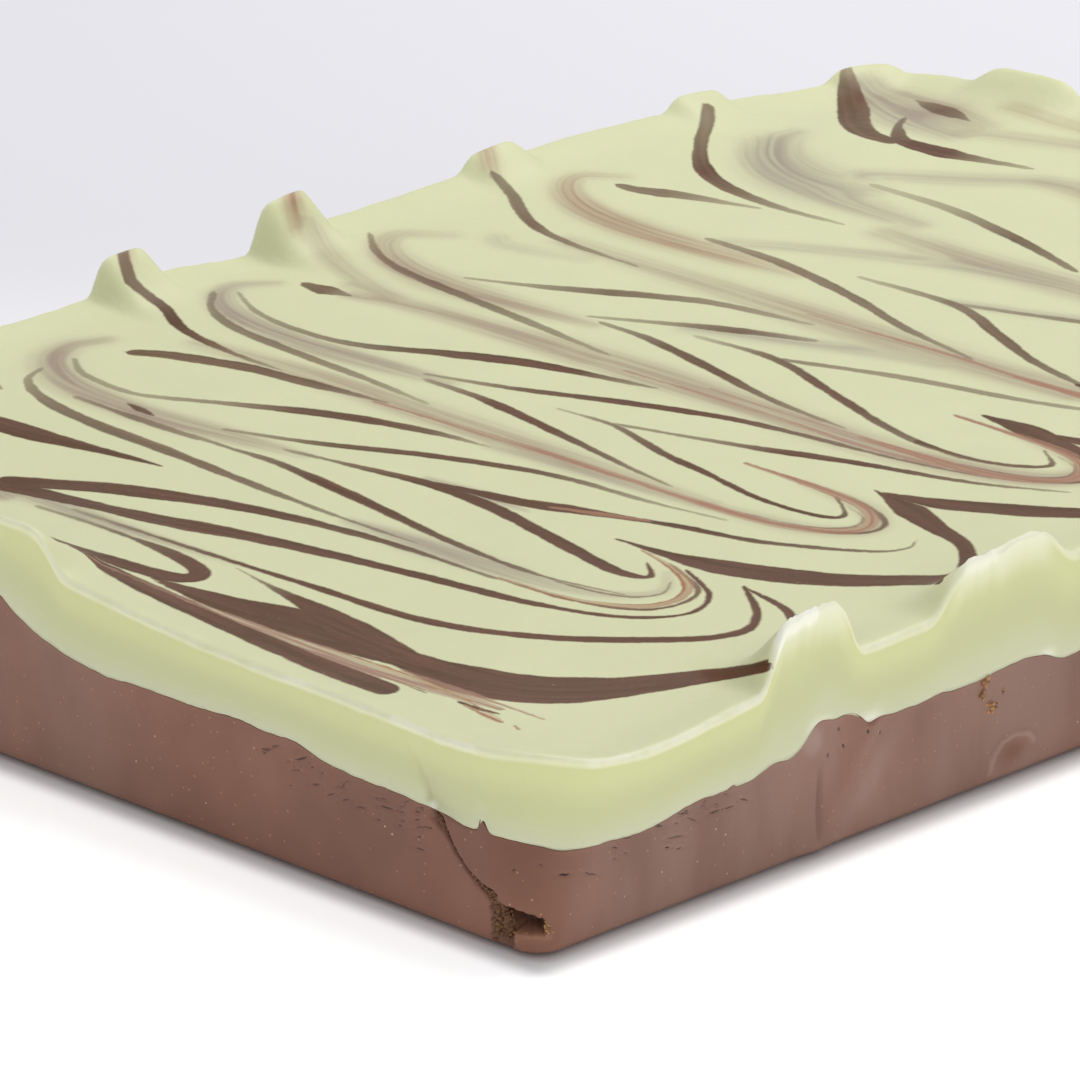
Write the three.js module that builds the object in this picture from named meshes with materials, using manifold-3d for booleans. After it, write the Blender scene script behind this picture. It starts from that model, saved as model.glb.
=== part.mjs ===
// A slab of two-layer fudge as it comes out of a lined tray: a chocolate layer, and a mint layer poured on it.
// The mint layer's rim is uneven, and stands up in peaks where the marbling tool was drawn over the edge.
// Millimetres, +Z up, origin at the middle of the underside, +X along the slab's length.
// The near corner is the one at -X and -Y. Places called along (X) and across (Y) are measured from it.
import * as THREE from "three";
import { ConvexGeometry } from "three/addons/geometries/ConvexGeometry.js";
import { mergeVertices } from "three/addons/utils/BufferGeometryUtils.js";
import Module from "manifold-3d";

// Driving dimensions: the tray's inside, and the heights of the surface, the rim and the join of the layers.
const SLAB_LENGTH = 330;
const SLAB_WIDTH = 229;
const SURFACE_HEIGHT = 32.8;
const RIM_HEIGHT = 34.6;
const JOIN_HEIGHT = 20.4;

// The outline's corners at the foot and at the rim, and the rounding of the lower and upper edges.
const FOOT_CORNER_RADIUS = 5;
const RIM_CORNER_RADIUS = 18;
const CORNER_GROWTH = 0.7;
const FOOT_ROUND = 1.6;
const RIM_ROUND = 2;
const SMALLEST_RADIUS = 1.5;

// How far in from the edge the rim and its peaks slope down to the flat surface.
const RIM_SLOPE = 7;
const PEAK_SLOPE = 8.5;
const PEAK_HOLLOWNESS = 1.5;
const PEAK_STEEPNESS = 6;

// Slow waves in the surface and in the join between the layers.
const SURFACE_WAVE = 0.3;
const JOIN_WAVE = 0.5;
const JOIN_WAVE_PHASE = 2;
const WAVE_LENGTH = 74;

// Peaks on each edge: place along it, rise above the rim and reach to either side. joinShare is how much of
// a peak's rise the chocolate below it follows.
const PEAKS = [
  {
    edge: "near",
    joinShare: 0.3,
    list: [
      { at: 64.5, rise: 10.6, reach: 9.8 },
      { at: 111.5, rise: 7.8, reach: 14.5 },
      { at: 159, rise: 6.4, reach: 10 },
      { at: 205, rise: 8.2, reach: 9.5 },
      { at: 252, rise: 6, reach: 13 },
      { at: 298, rise: 7.2, reach: 10 },
    ],
  },
  {
    edge: "far",
    joinShare: 0.3,
    list: [
      { at: 27, rise: 5.4, reach: 7.5 },
      { at: 75, rise: 6.6, reach: 8 },
      { at: 121, rise: 6.6, reach: 7 },
      { at: 162.5, rise: 8.4, reach: 7.5 },
      { at: 218, rise: 3.4, reach: 7.5 },
      { at: 275, rise: 3, reach: 7.5 },
      { at: 323, rise: 2.8, reach: 9 },
    ],
  },
  {
    edge: "left",
    joinShare: 0.55,
    list: [
      { at: 129, rise: 7, reach: 13.5 },
      { at: 192, rise: 3, reach: 12 },
    ],
  },
  {
    edge: "right",
    joinShare: 0.4,
    list: [
      { at: 48, rise: 4.2, reach: 11 },
      { at: 118, rise: 2.6, reach: 15 },
      { at: 188, rise: 4, reach: 13 },
    ],
  },
];

// Soft swells, and sags where negative: how much each lifts the top and the join round a place on the edge.
const SWELLS = [
  { along: 27, across: 0, reach: 28, top: -3.9, join: -3.9 },
  { along: 140, across: 0, reach: 26, top: 3.4, join: -1.2 },
  { along: 250, across: 0, reach: 60, top: 1.2, join: 0.8 },
  { along: 0, across: 4, reach: 14, top: 1.4, join: 0.4 },
  { along: 0, across: 84, reach: 46, top: 0, join: 2.6 },
  { along: 0, across: 122, reach: 30, top: 3.4, join: 2.2 },
  { along: 100, across: 229, reach: 26, top: -1.6, join: 0 },
  { along: 152, across: 229, reach: 13, top: -2.2, join: 0 },
  { along: 236, across: 229, reach: 30, top: 1.6, join: 0.4 },
  { along: 316, across: 229, reach: 27, top: -4, join: -1 },
];

// The crease that a fold of the tray's lining left in the chocolate beside the near corner: it comes down the
// -X end, slants towards the corner and opens into a crumbled hollow there, which ends past the corner.
const CREASE = [
  { across: 23.2, height: 19.6, width: 1.1, depth: 1.1 },
  { across: 19, height: 13.5, width: 0.8, depth: 1.6 },
  { across: 15.6, height: 10.3, width: 0.9, depth: 2 },
  { across: 10.4, height: 7.6, width: 2.2, depth: 4 },
];
const HOLLOW_MOUTH = [
  { across: 10.6, height: 9.3 },
  { across: 10.2, height: 0 },
  { across: 7, height: 0 },
  { across: 6, height: 3.6 },
];
const HOLLOW_END = { along: 3, heights: [4.4, 6.2] };
const HOLLOW_DEPTH = 6;
const CUT_OVERRUN = 2;

// Resolution: spacing of points along the edges, arc steps in a corner, and the insets of the inner rings.
const EDGE_STEP = 4.2;
const CORNER_STEPS = 6;
const FOOT_STEPS = [1, 0.35, 0];
const BASE_SIDE_STEPS = [0.4, 0.75, 1];
const MINT_SIDE_STEPS = [0, 0.5, 1];
const TOP_INSETS = [0.5, 2, 4.5, 7.5, 12, 21];
const JOIN_INSETS = [8, 30];
const CORE_HALF_WIDTH = 12;

const HALF_LENGTH = SLAB_LENGTH / 2;
const HALF_WIDTH = SLAB_WIDTH / 2;
const JOIN_SHARE = JOIN_HEIGHT / RIM_HEIGHT;

/** Stations round a rounded rectangle, mirrored across the X axis, from the +X end round by the +Y side. */
function makeStations() {
  const stepsFor = (half) => Math.ceil((half - RIM_CORNER_RADIUS) / EDGE_STEP);
  const endSteps = stepsFor(HALF_WIDTH);
  const sideSteps = stepsFor(HALF_LENGTH);
  const quarter = [];
  for (let i = 0; i < endSteps; i++) quarter.push({ fx: 1, fy: i / endSteps, nx: 1, ny: 0 });
  for (let i = 0; i <= CORNER_STEPS; i++) {
    const angle = ((Math.PI / 2) * i) / CORNER_STEPS;
    quarter.push({ fx: 1, fy: 1, nx: Math.cos(angle), ny: Math.sin(angle) });
  }
  for (let i = 1; i < sideSteps; i++) quarter.push({ fx: 1 - i / sideSteps, fy: 1, nx: 0, ny: 1 });
  const flip = (s, x, y) => ({ fx: s.fx * x, fy: s.fy * y, nx: s.nx * x, ny: s.ny * y });
  const middle = { fx: 0, fy: 1, nx: 0, ny: 1 };
  const farHalf = [...quarter, middle, ...quarter.map((s) => flip(s, -1, 1)).reverse()];
  const nearHalf = farHalf.slice(1, -1).map((s) => flip(s, 1, -1));
  return [...farHalf, ...nearHalf.reverse()];
}

/** The plan point of a station on an outline set in from the slab's outline, with its own corner radius. */
function planPoint(station, inset, cornerRadius) {
  const radius = Math.max(cornerRadius, SMALLEST_RADIUS);
  return {
    x: station.fx * (HALF_LENGTH - inset - radius) + station.nx * radius,
    y: station.fy * (HALF_WIDTH - inset - radius) + station.ny * radius,
  };
}

/** A place measured from the near corner as a plan point. */
const fromCorner = (along, across) => ({ x: along - HALF_LENGTH, y: across - HALF_WIDTH });

/** Where a peak stands in plan. */
function peakPlace(edge, at) {
  if (edge === "near") return fromCorner(at, 0);
  if (edge === "far") return fromCorner(at, SLAB_WIDTH);
  if (edge === "left") return fromCorner(0, at);
  return fromCorner(SLAB_LENGTH, at);
}

/** Height that the peaks add at an edge point, with each edge's peaks weighted by its own share. */
function peakRise(point, shareOf) {
  let height = 0;
  for (const group of PEAKS) {
    for (const { at, rise, reach } of group.list) {
      const place = peakPlace(group.edge, at);
      const distance = Math.hypot(point.x - place.x, point.y - place.y);
      height += shareOf(group) * rise * Math.exp(-((distance / reach) ** PEAK_STEEPNESS));
    }
  }
  return height;
}

/** Height that the swells add at a point, to the top or to the join. */
function swellRise(point, surface) {
  let height = 0;
  for (const swell of SWELLS) {
    const place = fromCorner(swell.along, swell.across);
    const distance = Math.hypot(point.x - place.x, point.y - place.y);
    height += swell[surface] * Math.exp(-((distance / swell.reach) ** 2));
  }
  return height;
}

/** A slow wave over the plan, from -1 to 1. */
function wave(point, phase) {
  const k = (2 * Math.PI) / WAVE_LENGTH;
  const slanted = Math.sin(k * (point.x + 0.6 * point.y) + phase);
  const crossing = Math.sin(k * (1.7 * point.y - point.x));
  return 0.6 * slanted + 0.4 * crossing;
}

/** Height of the join between the layers: uneven, and drawn up under the peaks at the edge. */
function joinHeight(point, edge, inset) {
  const drawnUp = peakRise(edge, (group) => group.joinShare) * Math.exp(-inset / PEAK_SLOPE);
  return JOIN_HEIGHT + JOIN_WAVE * wave(point, JOIN_WAVE_PHASE) + swellRise(point, "join") + drawnUp;
}

/** Height of the top: a rim and its peaks at the edge, sloping down to the surface, with a rounded brink. */
function topHeight(point, edge, inset) {
  const surface = SURFACE_HEIGHT + SURFACE_WAVE * wave(point, 0) + swellRise(point, "top");
  const rim = RIM_HEIGHT + swellRise(edge, "top") - surface;
  const rimShare = Math.exp(-((inset / RIM_SLOPE) ** 2));
  const peakShare = Math.exp(-((inset / PEAK_SLOPE) ** PEAK_HOLLOWNESS));
  const brink = Math.max(0, 1 - inset / RIM_ROUND);
  const fall = RIM_ROUND * (1 - Math.sqrt(1 - brink * brink));
  return surface + rim * rimShare + peakRise(edge, () => 1) * peakShare - fall;
}

/** The outline's corner radius at a share of the rim's height: tight at the foot, wide at the rim. */
function cornerRadiusAt(share) {
  return FOOT_CORNER_RADIUS + (RIM_CORNER_RADIUS - FOOT_CORNER_RADIUS) * share ** CORNER_GROWTH;
}

const stations = makeStations();
const rimOutline = stations.map((s) => planPoint(s, 0, RIM_CORNER_RADIUS));

/** One ring of points: each station at an inset and corner radius, with a height from its plan and edge point. */
function ring(inset, cornerRadius, heightOf) {
  return stations.map((s, i) => {
    const point = planPoint(s, inset, cornerRadius);
    return [point.x, point.y, heightOf(point, rimOutline[i])];
  });
}

/** Rings inside the outline over the top or the join, in to a narrow core that a cap spans. */
function innerRings(insets, heightOf) {
  return [...insets, HALF_WIDTH - CORE_HALF_WIDTH].map((inset) =>
    ring(inset, RIM_CORNER_RADIUS - inset, (point, edge) => heightOf(point, edge, inset)),
  );
}

/**
 * A closed solid from a stack of rings, bottom to top, with its first and last rings capped across. The bands
 * below turnedBands are split along their other diagonal, so that two solids can share one uneven face.
 */
function stackSolid(rings, turnedBands = 0) {
  const count = stations.length;
  const index = [];
  for (let r = 0; r + 1 < rings.length; r++) {
    for (let i = 0; i < count; i++) {
      const a = r * count + i;
      const b = r * count + ((i + 1) % count);
      if (r < turnedBands) index.push(a, b, a + count, b, b + count, a + count);
      else index.push(a, b, b + count, a, b + count, a + count);
    }
  }
  const cap = (start, addFace) => {
    for (let i = 0; i < count / 2; i++) {
      const near = start + ((count - i) % count);
      const nextNear = start + count - i - 1;
      if (i > 0) addFace(near, start + i, start + i + 1);
      if (i + 1 < count / 2) addFace(near, start + i + 1, nextNear);
    }
  };
  cap((rings.length - 1) * count, (a, b, c) => index.push(a, b, c));
  cap(0, (a, b, c) => index.push(a, c, b));
  const geometry = new THREE.BufferGeometry();
  geometry.setAttribute("position", new THREE.Float32BufferAttribute(rings.flat(2), 3));
  geometry.setIndex(index);
  return geometry;
}

/** The chocolate base, before its crease: a flat foot with a rounded edge, upright sides and an uneven top. */
function baseGeometry() {
  const foot = FOOT_STEPS.map((t) =>
    ring(FOOT_ROUND * t, FOOT_CORNER_RADIUS, () => FOOT_ROUND * (1 - Math.sqrt(1 - (1 - t) ** 2))),
  );
  const sides = BASE_SIDE_STEPS.map((t) =>
    ring(0, cornerRadiusAt(JOIN_SHARE * t), (point, edge) => {
      return FOOT_ROUND + (joinHeight(edge, edge, 0) - FOOT_ROUND) * t;
    }),
  );
  return stackSolid([...foot, ...sides, ...innerRings(JOIN_INSETS, joinHeight)]);
}

/** The mint layer: the base's uneven top as its underside, upright sides, a rim with peaks and a flat top. */
function mintGeometry() {
  const underside = innerRings(JOIN_INSETS, joinHeight).reverse();
  const sides = MINT_SIDE_STEPS.map((t) =>
    ring(0, cornerRadiusAt(JOIN_SHARE + (1 - JOIN_SHARE) * t), (point, edge) => {
      const low = joinHeight(edge, edge, 0);
      return low + (topHeight(edge, edge, 0) - low) * t;
    }),
  );
  return stackSolid([...underside, ...sides, ...innerRings(TOP_INSETS, topHeight)], underside.length);
}

/** A point of a cut, from its place along and across the slab and its height. */
function cutPoint(along, across, height) {
  const { x, y } = fromCorner(along, across);
  return new THREE.Vector3(x, y, height);
}

/** The wedges of chocolate missing from the crease: slender slits from station to station down its line. */
function creaseCuts() {
  const section = ({ across, height, width, depth }) => [
    cutPoint(-CUT_OVERRUN, across - width / 2, height),
    cutPoint(-CUT_OVERRUN, across + width / 2, height),
    cutPoint(depth, across, height),
  ];
  const lower = CREASE.slice(1);
  return lower.map((station, i) => new ConvexGeometry([...section(CREASE[i]), ...section(station)]));
}

/** The piece missing from the hollow: its mouth on the -X end, its far end past the corner and its depth. */
function hollowCut() {
  const sink = (height) => (height === 0 ? -CUT_OVERRUN : height);
  const mouth = HOLLOW_MOUTH.map(({ across, height }) => cutPoint(-CUT_OVERRUN, across, sink(height)));
  const end = HOLLOW_END.heights.map((height) => cutPoint(HOLLOW_END.along, -CUT_OVERRUN, height));
  const [high, low] = HOLLOW_MOUTH;
  const middle = (HOLLOW_MOUTH[0].across + HOLLOW_MOUTH[3].across) / 2;
  const floor = [sink(low.height), high.height / 2].map((height) => cutPoint(HOLLOW_DEPTH, middle, height));
  return new ConvexGeometry([...mouth, ...end, ...floor]);
}

const wasm = await Module();
wasm.setup();

/** A geometry as a solid that can be cut. */
function solidOf(geometry) {
  const bare = geometry.clone();
  bare.deleteAttribute("normal");
  bare.deleteAttribute("uv");
  const merged = mergeVertices(bare);
  return new wasm.Manifold(
    new wasm.Mesh({
      numProp: 3,
      vertProperties: merged.getAttribute("position").array,
      triVerts: new Uint32Array(merged.index.array),
    }),
  );
}

/** A cut solid as a geometry again. */
function geometryOf(solid) {
  const mesh = solid.getMesh();
  const geometry = new THREE.BufferGeometry();
  geometry.setAttribute("position", new THREE.BufferAttribute(mesh.vertProperties, 3));
  geometry.setIndex(new THREE.BufferAttribute(mesh.triVerts, 1));
  return geometry;
}

/** A named layer of the slab with its own finish. */
function layer(name, geometry, color, roughness) {
  geometry.computeVertexNormals();
  const mesh = new THREE.Mesh(geometry, new THREE.MeshStandardMaterial({ color, roughness, metalness: 0 }));
  mesh.name = name;
  return mesh;
}

const cuts = [...creaseCuts(), hollowCut()].map(solidOf);
const creasedBase = cuts.reduce((solid, cut) => solid.subtract(cut), solidOf(baseGeometry()));

const slab = new THREE.Group();
slab.name = "fudge_slab";
slab.add(layer("chocolate_base", geometryOf(creasedBase), 0x7c5a4b, 0.55));
slab.add(layer("mint_layer", mintGeometry(), 0xd9dfae, 0.4));

export default slab;
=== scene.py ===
"""Looks of a slab of two-layer fudge: a chocolate base under a marbled mint layer.

Sizes are in millimetres and follow the part: places called along (X) and across (Y) start at the near
corner, which is the one at -X and -Y. Places called turned are distances round that corner: along the near
side, and minus across the end. Meshes are in metres, in the part's own frame.
"""

import logging
import math
from dataclasses import dataclass, field
from enum import Enum
from typing import Callable, Sequence

import bpy
from bpy.types import Material, Mesh, Node, NodeSocket, NodeTree, Object
import numpy as np
from mathutils import Matrix, Vector, noise


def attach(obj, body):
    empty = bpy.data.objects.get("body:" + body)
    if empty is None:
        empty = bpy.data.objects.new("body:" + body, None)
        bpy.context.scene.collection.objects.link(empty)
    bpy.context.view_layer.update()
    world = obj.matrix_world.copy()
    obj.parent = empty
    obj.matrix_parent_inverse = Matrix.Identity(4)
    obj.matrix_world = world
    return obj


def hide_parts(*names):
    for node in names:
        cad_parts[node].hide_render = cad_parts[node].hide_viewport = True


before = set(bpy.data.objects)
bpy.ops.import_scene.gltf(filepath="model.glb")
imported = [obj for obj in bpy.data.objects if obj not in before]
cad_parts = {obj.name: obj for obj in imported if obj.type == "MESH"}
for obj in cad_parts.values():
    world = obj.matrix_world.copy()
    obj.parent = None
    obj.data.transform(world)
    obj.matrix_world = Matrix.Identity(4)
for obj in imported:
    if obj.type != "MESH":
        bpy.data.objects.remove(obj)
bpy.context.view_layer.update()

LOG = logging.getLogger("fudge_slab")
MM = 0.001
BODY = "root"

JUST_INSIDE = 1 - 1e-9
HIDDEN_SIDE = 1e3
STREAK_DRIFT = (28.0, 28.0, 28.0)

Points = np.ndarray
Values = np.ndarray
Span = tuple[float, float]
Axes = tuple[float, float, float]


class Edge(Enum):
    """The slab's four edges, named as seen from the near corner."""

    NEAR = "near"
    FAR = "far"
    LEFT = "left"
    RIGHT = "right"


@dataclass(frozen=True)
class Peak:
    """A place where the rim stands up."""

    edge: Edge
    at: float
    rise: float
    reach: float


@dataclass(frozen=True)
class Swell:
    """A soft rise, or a sag where negative, of the top and of the join round a place on the edge."""

    along: float
    across: float
    reach: float
    top: float
    join: float


PEAKS = (
    Peak(Edge.NEAR, 64.5, 10.6, 9.8),
    Peak(Edge.NEAR, 111.5, 7.8, 14.5),
    Peak(Edge.NEAR, 159, 6.4, 10),
    Peak(Edge.NEAR, 205, 8.2, 9.5),
    Peak(Edge.NEAR, 252, 6, 13),
    Peak(Edge.NEAR, 298, 7.2, 10),
    Peak(Edge.FAR, 27, 5.4, 7.5),
    Peak(Edge.FAR, 75, 6.6, 8),
    Peak(Edge.FAR, 121, 6.6, 7),
    Peak(Edge.FAR, 162.5, 8.4, 7.5),
    Peak(Edge.FAR, 218, 3.4, 7.5),
    Peak(Edge.FAR, 275, 3, 7.5),
    Peak(Edge.FAR, 323, 2.8, 9),
    Peak(Edge.LEFT, 129, 7, 13.5),
    Peak(Edge.LEFT, 192, 3, 12),
    Peak(Edge.RIGHT, 48, 4.2, 11),
    Peak(Edge.RIGHT, 118, 2.6, 15),
    Peak(Edge.RIGHT, 188, 4, 13),
)

SWELLS = (
    Swell(27, 0, 28, -3.9, -3.9),
    Swell(140, 0, 26, 3.4, -1.2),
    Swell(250, 0, 60, 1.2, 0.8),
    Swell(0, 4, 14, 1.4, 0.4),
    Swell(0, 84, 46, 0, 2.6),
    Swell(0, 122, 30, 3.4, 2.2),
    Swell(100, 229, 26, -1.6, 0),
    Swell(152, 229, 13, -2.2, 0),
    Swell(236, 229, 30, 1.6, 0.4),
    Swell(316, 229, 27, -4, -1),
)

JOIN_SHARES = {Edge.NEAR: 0.3, Edge.FAR: 0.3, Edge.LEFT: 0.55, Edge.RIGHT: 0.4}


def smooth_step(values: Values, low: float, high: float) -> Values:
    """Ease from 0 at low to 1 at high.

    Args:
        values: Numbers to ease.
        low: Where the result is 0.
        high: Where the result is 1.

    Returns:
        The eased numbers.
    """
    share = np.clip((values - low) / (high - low), 0, 1)
    return share * share * (3 - 2 * share)


def grain(points: Points, length: float, seed: float = 0.0) -> Values:
    """Smooth noise at points in space.

    Args:
        points: Points in millimetres, three numbers each.
        length: Size of the noise's lumps in millimetres.
        seed: Shift that makes one noise differ from another.

    Returns:
        One number from about -1 to 1 for each point.
    """
    scaled = points / length + seed
    return np.fromiter((noise.noise(p) for p in scaled.tolist()), float, len(points))


def hump(away: Values, width: float | Values) -> Values:
    """A smooth hump, 1 in its middle, that fades out past a width."""
    return np.exp(-((away / width) ** 2))


def brink_fall(inset: Values, radius: float) -> Values:
    """How far a brink rounded with a radius has fallen at an inset."""
    left = np.clip(1 - inset / radius, 0, 1)
    return radius * (1 - np.sqrt(1 - left**2))


def within(places: Values, start: float, end: float, ease: float) -> Values:
    """How far places lie in a stretch that is eased in and out."""
    return smooth_step(places, start, start + ease) * smooth_step(-places, -end, ease - end)


@dataclass(frozen=True)
class Stations:
    """Places round the outline: the straight share along each axis, and the outward normal."""

    share: Points
    normal: Points

    def some(self, chosen: np.ndarray) -> "Stations":
        """The chosen ones of the stations."""
        return Stations(self.share[chosen], self.normal[chosen])


@dataclass(frozen=True)
class SlabForm:
    """The slab's form: the heights of its surfaces and the plan of its sides."""

    length: float = 330.0
    width: float = 229.0
    surface: float = 32.8
    rim: float = 34.6
    join: float = 20.4
    foot_corner: float = 5.0
    rim_corner: float = 18.0
    corner_growth: float = 0.7
    foot_round: float = 2.0
    rim_round: float = 2.0
    smallest_radius: float = 1.5
    rim_slope: float = 7.0
    peak_slope: float = 8.5
    peak_hollowness: float = 1.5
    peak_steepness: float = 6.0
    surface_wave: float = 0.3
    join_wave: float = 0.5
    join_wave_phase: float = 2.0
    wave_length: float = 74.0
    wave_slant: float = 0.6
    wave_crossing: float = 1.7
    wave_share: float = 0.6

    @property
    def half(self) -> np.ndarray:
        """Half the length and half the width."""
        return np.array([self.length / 2, self.width / 2])

    @property
    def join_share(self) -> float:
        """The join's height as a share of the rim's."""
        return self.join / self.rim

    def from_corner(self, places: Points) -> Points:
        """Places along and across the slab as plan points."""
        return np.asarray(places, float) - self.half

    def to_corner(self, plan: Points) -> Points:
        """Plan points as places along and across the slab."""
        return plan + self.half

    def peak_place(self, peak: Peak) -> np.ndarray:
        """Where a peak stands in plan."""
        places = {
            Edge.NEAR: (peak.at, 0.0),
            Edge.FAR: (peak.at, self.width),
            Edge.LEFT: (0.0, peak.at),
            Edge.RIGHT: (self.length, peak.at),
        }
        return self.from_corner(places[peak.edge])

    def outline_of(self, plan: Points) -> tuple[Points, Values, Stations]:
        """Find what part of the outline each plan point belongs to.

        Args:
            plan: Points inside the rim's outline.

        Returns:
            The nearest points of the outline, the insets from it, and the stations there.
        """
        core = self.half - self.rim_corner
        sign = np.where(plan < 0, -1.0, 1.0)
        beyond = np.abs(plan) - core
        in_corner = (beyond > 0).all(axis=1)
        distance = np.maximum(np.hypot(beyond[:, 0], beyond[:, 1]), 1e-9)
        gap = self.half - np.abs(plan)
        to_end = gap[:, 0] < gap[:, 1]
        straight = np.where(to_end[:, None], (1.0, 0.0), (0.0, 1.0))
        normal = np.where(in_corner[:, None], beyond / distance[:, None], straight) * sign
        share = np.clip(plan / core, -1, 1)
        side_share = np.where(straight > 0, sign, share)
        share = np.where(in_corner[:, None], sign, side_share)
        stations = Stations(share, normal)
        inset = np.where(in_corner, self.rim_corner - distance, gap.min(axis=1))
        return self.plan_point(stations, 0.0, self.rim_corner), inset, stations

    def plan_point(self, stations: Stations, inset: float, radius: float | Values) -> Points:
        """Plan points of stations on an outline set in from the slab's own.

        Args:
            stations: Places round the outline.
            inset: How far the outline is set in.
            radius: Its corner radius, one for all or one for each station.

        Returns:
            The plan points.
        """
        radius = np.maximum(np.broadcast_to(radius, len(stations.share)), self.smallest_radius)[:, None]
        return stations.share * (self.half - inset - radius) + stations.normal * radius

    def corner_radius(self, share: float) -> float:
        """The outline's corner radius at a share of the rim's height."""
        return self.foot_corner + (self.rim_corner - self.foot_corner) * share**self.corner_growth

    def peak_rise(self, edge: Points, shares: dict[Edge, float] | None = None) -> Values:
        """Height that the peaks add at points of the outline.

        Args:
            edge: Points of the outline.
            shares: How much of each edge's peaks counts, or all of them.

        Returns:
            The added heights.
        """
        height = np.zeros(len(edge))
        for peak in PEAKS:
            distance = np.linalg.norm(edge - self.peak_place(peak), axis=1)
            weight = shares[peak.edge] if shares else 1.0
            height += weight * peak.rise * np.exp(-((distance / peak.reach) ** self.peak_steepness))
        return height

    def swell_rise(self, plan: Points, height_of: Callable[[Swell], float]) -> Values:
        """Height that the swells add to one of the surfaces.

        Args:
            plan: Plan points.
            height_of: Picks the surface's own height from a swell.

        Returns:
            The added heights.
        """
        height = np.zeros(len(plan))
        for swell in SWELLS:
            place = self.from_corner((swell.along, swell.across))
            distance = np.linalg.norm(plan - place, axis=1)
            height += height_of(swell) * np.exp(-((distance / swell.reach) ** 2))
        return height

    def wave(self, plan: Points, phase: float) -> Values:
        """A slow wave over the plan.

        Args:
            plan: Plan points.
            phase: Where the wave starts, in radians.

        Returns:
            Numbers from -1 to 1.
        """
        turn = 2 * math.pi / self.wave_length
        slanted = np.sin(turn * (plan[:, 0] + self.wave_slant * plan[:, 1]) + phase)
        crossing = np.sin(turn * (self.wave_crossing * plan[:, 1] - plan[:, 0]))
        return self.wave_share * slanted + (1 - self.wave_share) * crossing

    def join_height(self, plan: Points, edge: Points, inset: float | Values) -> Values:
        """Height of the join between the layers.

        Args:
            plan: Plan points.
            edge: The outline's points nearest to them.
            inset: Their insets from the outline.

        Returns:
            The heights.
        """
        drawn_up = self.peak_rise(edge, JOIN_SHARES) * np.exp(-np.asarray(inset) / self.peak_slope)
        wave = self.join_wave * self.wave(plan, self.join_wave_phase)
        return self.join + wave + self.swell_rise(plan, lambda swell: swell.join) + drawn_up

    def top_height(self, plan: Points, edge: Points, inset: float | Values) -> Values:
        """Height of the top: a rim with peaks, a slope down to the surface and a rounded brink.

        Args:
            plan: Plan points.
            edge: The outline's points nearest to them.
            inset: Their insets from the outline.

        Returns:
            The heights.
        """
        inset = np.asarray(inset, float)
        surface = self.surface + self.surface_wave * self.wave(plan, 0.0)
        surface += self.swell_rise(plan, lambda swell: swell.top)
        rim = self.rim + self.swell_rise(edge, lambda swell: swell.top) - surface
        rim_share = np.exp(-((inset / self.rim_slope) ** 2))
        peak_share = np.exp(-((np.maximum(inset, 0) / self.peak_slope) ** self.peak_hollowness))
        fall = brink_fall(inset, self.rim_round)
        return surface + rim * rim_share + self.peak_rise(edge) * peak_share - fall


FORM = SlabForm()


class Tone(Enum):
    """What a stroke of the marbling is made of."""

    SMEAR = "smear"
    CHOCOLATE = "chocolate"
    TOFFEE = "toffee"


@dataclass(frozen=True)
class Stroke:
    """A stroke of the marbling: a smooth line over the plan, with widths and strengths along it."""

    tone: Tone
    line: tuple[Span, ...]
    half_widths: tuple[float, ...]
    strengths: tuple[float, ...] = (1.0,)
    warmth: float = 0.0

    def moved(self, along: float, across: float = 0.0) -> "Stroke":
        """The same stroke at another place of the slab."""
        line = tuple((x + along, y + across) for x, y in self.line)
        return Stroke(self.tone, line, self.half_widths, self.strengths, self.warmth)

    def sampled(self, step: float) -> tuple[Points, Values, Values]:
        """Points of the stroke at an even spacing.

        Args:
            step: Spacing in millimetres.

        Returns:
            The plan points, and the half width and strength at each.
        """
        knots = np.asarray(self.line, float)
        padded = np.vstack([2 * knots[0] - knots[1], knots, 2 * knots[-1] - knots[-2]])
        pieces = []
        for before, start, end, after in zip(padded, padded[1:], padded[2:], padded[3:]):
            count = max(2, int(np.linalg.norm(end - start) / step))
            t = np.linspace(0, 1, count, endpoint=False)[:, None]
            bend = 2 * before - 5 * start + 4 * end - after
            twist = 3 * (start - end) + after - before
            pieces.append(start + 0.5 * t * ((end - before) + t * (bend + t * twist)))
        points = np.vstack([*pieces, knots[-1:]])
        share = np.linspace(0, 1, len(points))
        half_width = np.interp(share, np.linspace(0, 1, len(self.half_widths)), self.half_widths)
        strength = np.interp(share, np.linspace(0, 1, len(self.strengths)), self.strengths)
        return points, half_width, strength


def chocolate(*line: Span, w: Sequence[float], s: Sequence[float] = (1.0,)) -> Stroke:
    """A stroke of chocolate through the given places, with its half widths w and strengths s."""
    return Stroke(Tone.CHOCOLATE, line, tuple(w), tuple(s))


def smear(*line: Span, w: Sequence[float], s: Sequence[float], warm: float = 0.0) -> Stroke:
    """A soft smear of chocolate blended into mint, from grey to tan as warm goes from 0 to 1."""
    return Stroke(Tone.SMEAR, line, tuple(w), tuple(s), warm)


def toffee(*line: Span, w: Sequence[float], warm: float = 0.5) -> Stroke:
    """A thin lighter streak over the chocolate, from pale pink to orange as warm goes from 0 to 1."""
    return Stroke(Tone.TOFFEE, line, tuple(w), (warm,))


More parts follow.
